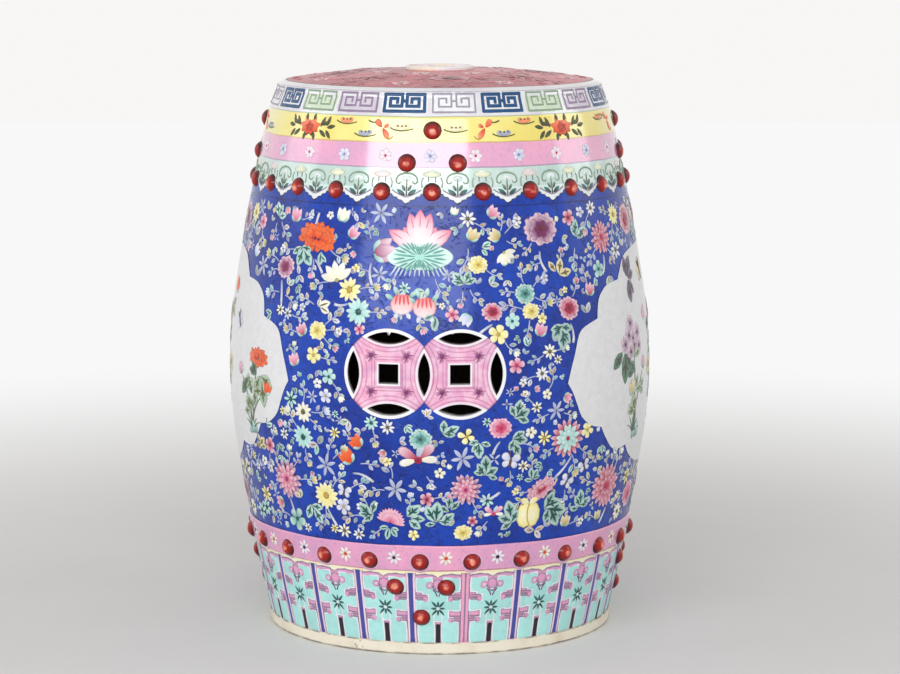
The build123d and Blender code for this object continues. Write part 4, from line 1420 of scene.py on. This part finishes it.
finishes = dict(cobalt_enamel=cobaltGlaze(), shoulder_enamel=shoulderEnamel(), base_enamel=baseEnamel(),
                coin_enamel=coinEnamel(), boss_red=bossRed(), bare_clay=bareClay(),
                seat_enamel=seatEnamel(), white_glaze=whiteGlaze())
enamel = paintedEnamel()
for node in nodes.values():
    for place in node.material_slots:
        place.material = finishes[place.material.name.split(".")[0]]
print("finishes on the clay:", len(finishes))


def addPiece(name, mesh):
    piece = bpy.data.objects.new(name, mesh)
    bpy.context.scene.collection.objects.link(piece)
    mesh.materials.append(enamel)
    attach(piece, "root")


for side, middle in zip(("left", "right"), medallion["sides"]):
    addPiece("medallion_" + side, makeMedallion("medallion_" + side, middle))
for name in sorted(sheets):
    sheet = sheets[name]
    mesh = bpy.data.meshes.new(name)
    sheet.bm.to_mesh(mesh)
    sheet.bm.free()
    addPiece(name, finishMesh(mesh, sheet.wrap(np.concatenate(sheet.spots)), np.concatenate(sheet.tints)))
faces = [len(o.data.polygons) for o in bpy.data.objects if o.type == "MESH"]
print("painted pieces:", len(sheets) + 2, "faces in all:", sum(faces), "most in one:", max(faces))

# room, light and camera
studio = dict(floor=6.0, fade=(0.35, 1.5), world=0.5, backdrop=0.94, floorDark=(0.74, 0.735, 0.72, 1),
              floorPale=(0.8, 0.795, 0.785, 1), air=(1.0, 0.985, 0.975, 1))
lamps = dict(   # watts, place, aim, width and height in metres
    window=(48.0, (-0.5, -2.75, 1.14), (0, 0, 0.34), 3.4, 1.12),
    skylight=(4.0, (0.2, -1.6, 2.3), (0, 0, 0.25), 2.2, 1.4),
    rightFill=(6.0, (2.2, 0.3, 1.2), (0, 0, 0.25), 1.2, 1.2),
    leftFill=(4.0, (-2.2, 0.1, 1.2), (0, 0, 0.25), 1.2, 1.2))


def makeFloor():
    bm = bmesh.new()
    bmesh.ops.create_circle(bm, cap_ends=True, segments=64, radius=studio["floor"])
    mesh = bpy.data.meshes.new("floor")
    bm.to_mesh(mesh)
    bm.free()
    floor = bpy.data.objects.new("floor", mesh)
    bpy.context.scene.collection.objects.link(floor)
    r = Finish("pale_floor")
    mesh.materials.append(r.finish(r.mix(r.noise(7, 4), studio["floorDark"], studio["floorPale"]), 0.7))
    far = r.ease(r.fromAxis(), *studio["fade"])
    glow = r.node("Emission", {}, {"Color": (1.0, 1.0, 1.0, 1), "Strength": studio["backdrop"]})
    both = r.node("MixShader", {}, {0: far * r.backdropRays(), 1: Wire(r, r.shader.outputs[0]), 2: glow})
    r.feed(r.nodes["Material Output"].inputs["Surface"], both)


def makeWorld():
    world = bpy.data.worlds.new("studio")
    bpy.context.scene.world = world
    r = Recipe(world)
    background = r.nodes["Background"]
    background.inputs["Color"].default_value = studio["air"]
    strength = studio["world"] + r.backdropRays() * (studio["backdrop"] - studio["world"])
    r.feed(background.inputs["Strength"], strength)


def makeLamp(name, power, place, aim, wide, tall):
    light = bpy.data.lights.new(name, "AREA")
    light.shape, light.size, light.size_y, light.energy = "RECTANGLE", wide, tall, power
    holder = bpy.data.objects.new(name, light)
    holder.location = place
    holder.rotation_euler = (Vector(aim) - Vector(place)).to_track_quat("-Z", "Y").to_euler()
    bpy.context.scene.collection.objects.link(holder)


view = dict(lens=120.0, sensor=36.0, away=2.519, height=0.602, down=8.18, azimuth=4.0, right=0.2,
            near=0.05, far=50.0)


def makeCamera():
    data = bpy.data.cameras.new("camera")
    data.lens, data.sensor_width = view["lens"], view["sensor"]
    data.clip_start, data.clip_end = view["near"], view["far"]
    camera = bpy.data.objects.new("camera", data)
    turn = math.radians(view["azimuth"])
    camera.location = (view["away"] * math.sin(turn), -view["away"] * math.cos(turn), view["height"])
    camera.rotation_euler = (math.radians(90 - view["down"]), 0,
                             math.radians(view["azimuth"] - view["right"]))
    bpy.context.scene.collection.objects.link(camera)
    bpy.context.scene.camera = camera


makeFloor()
makeWorld()
for name, settings in lamps.items():
    makeLamp(name, *settings)
makeCamera()
bpy.context.scene.view_settings.view_transform = "Standard"
print("studio ready")
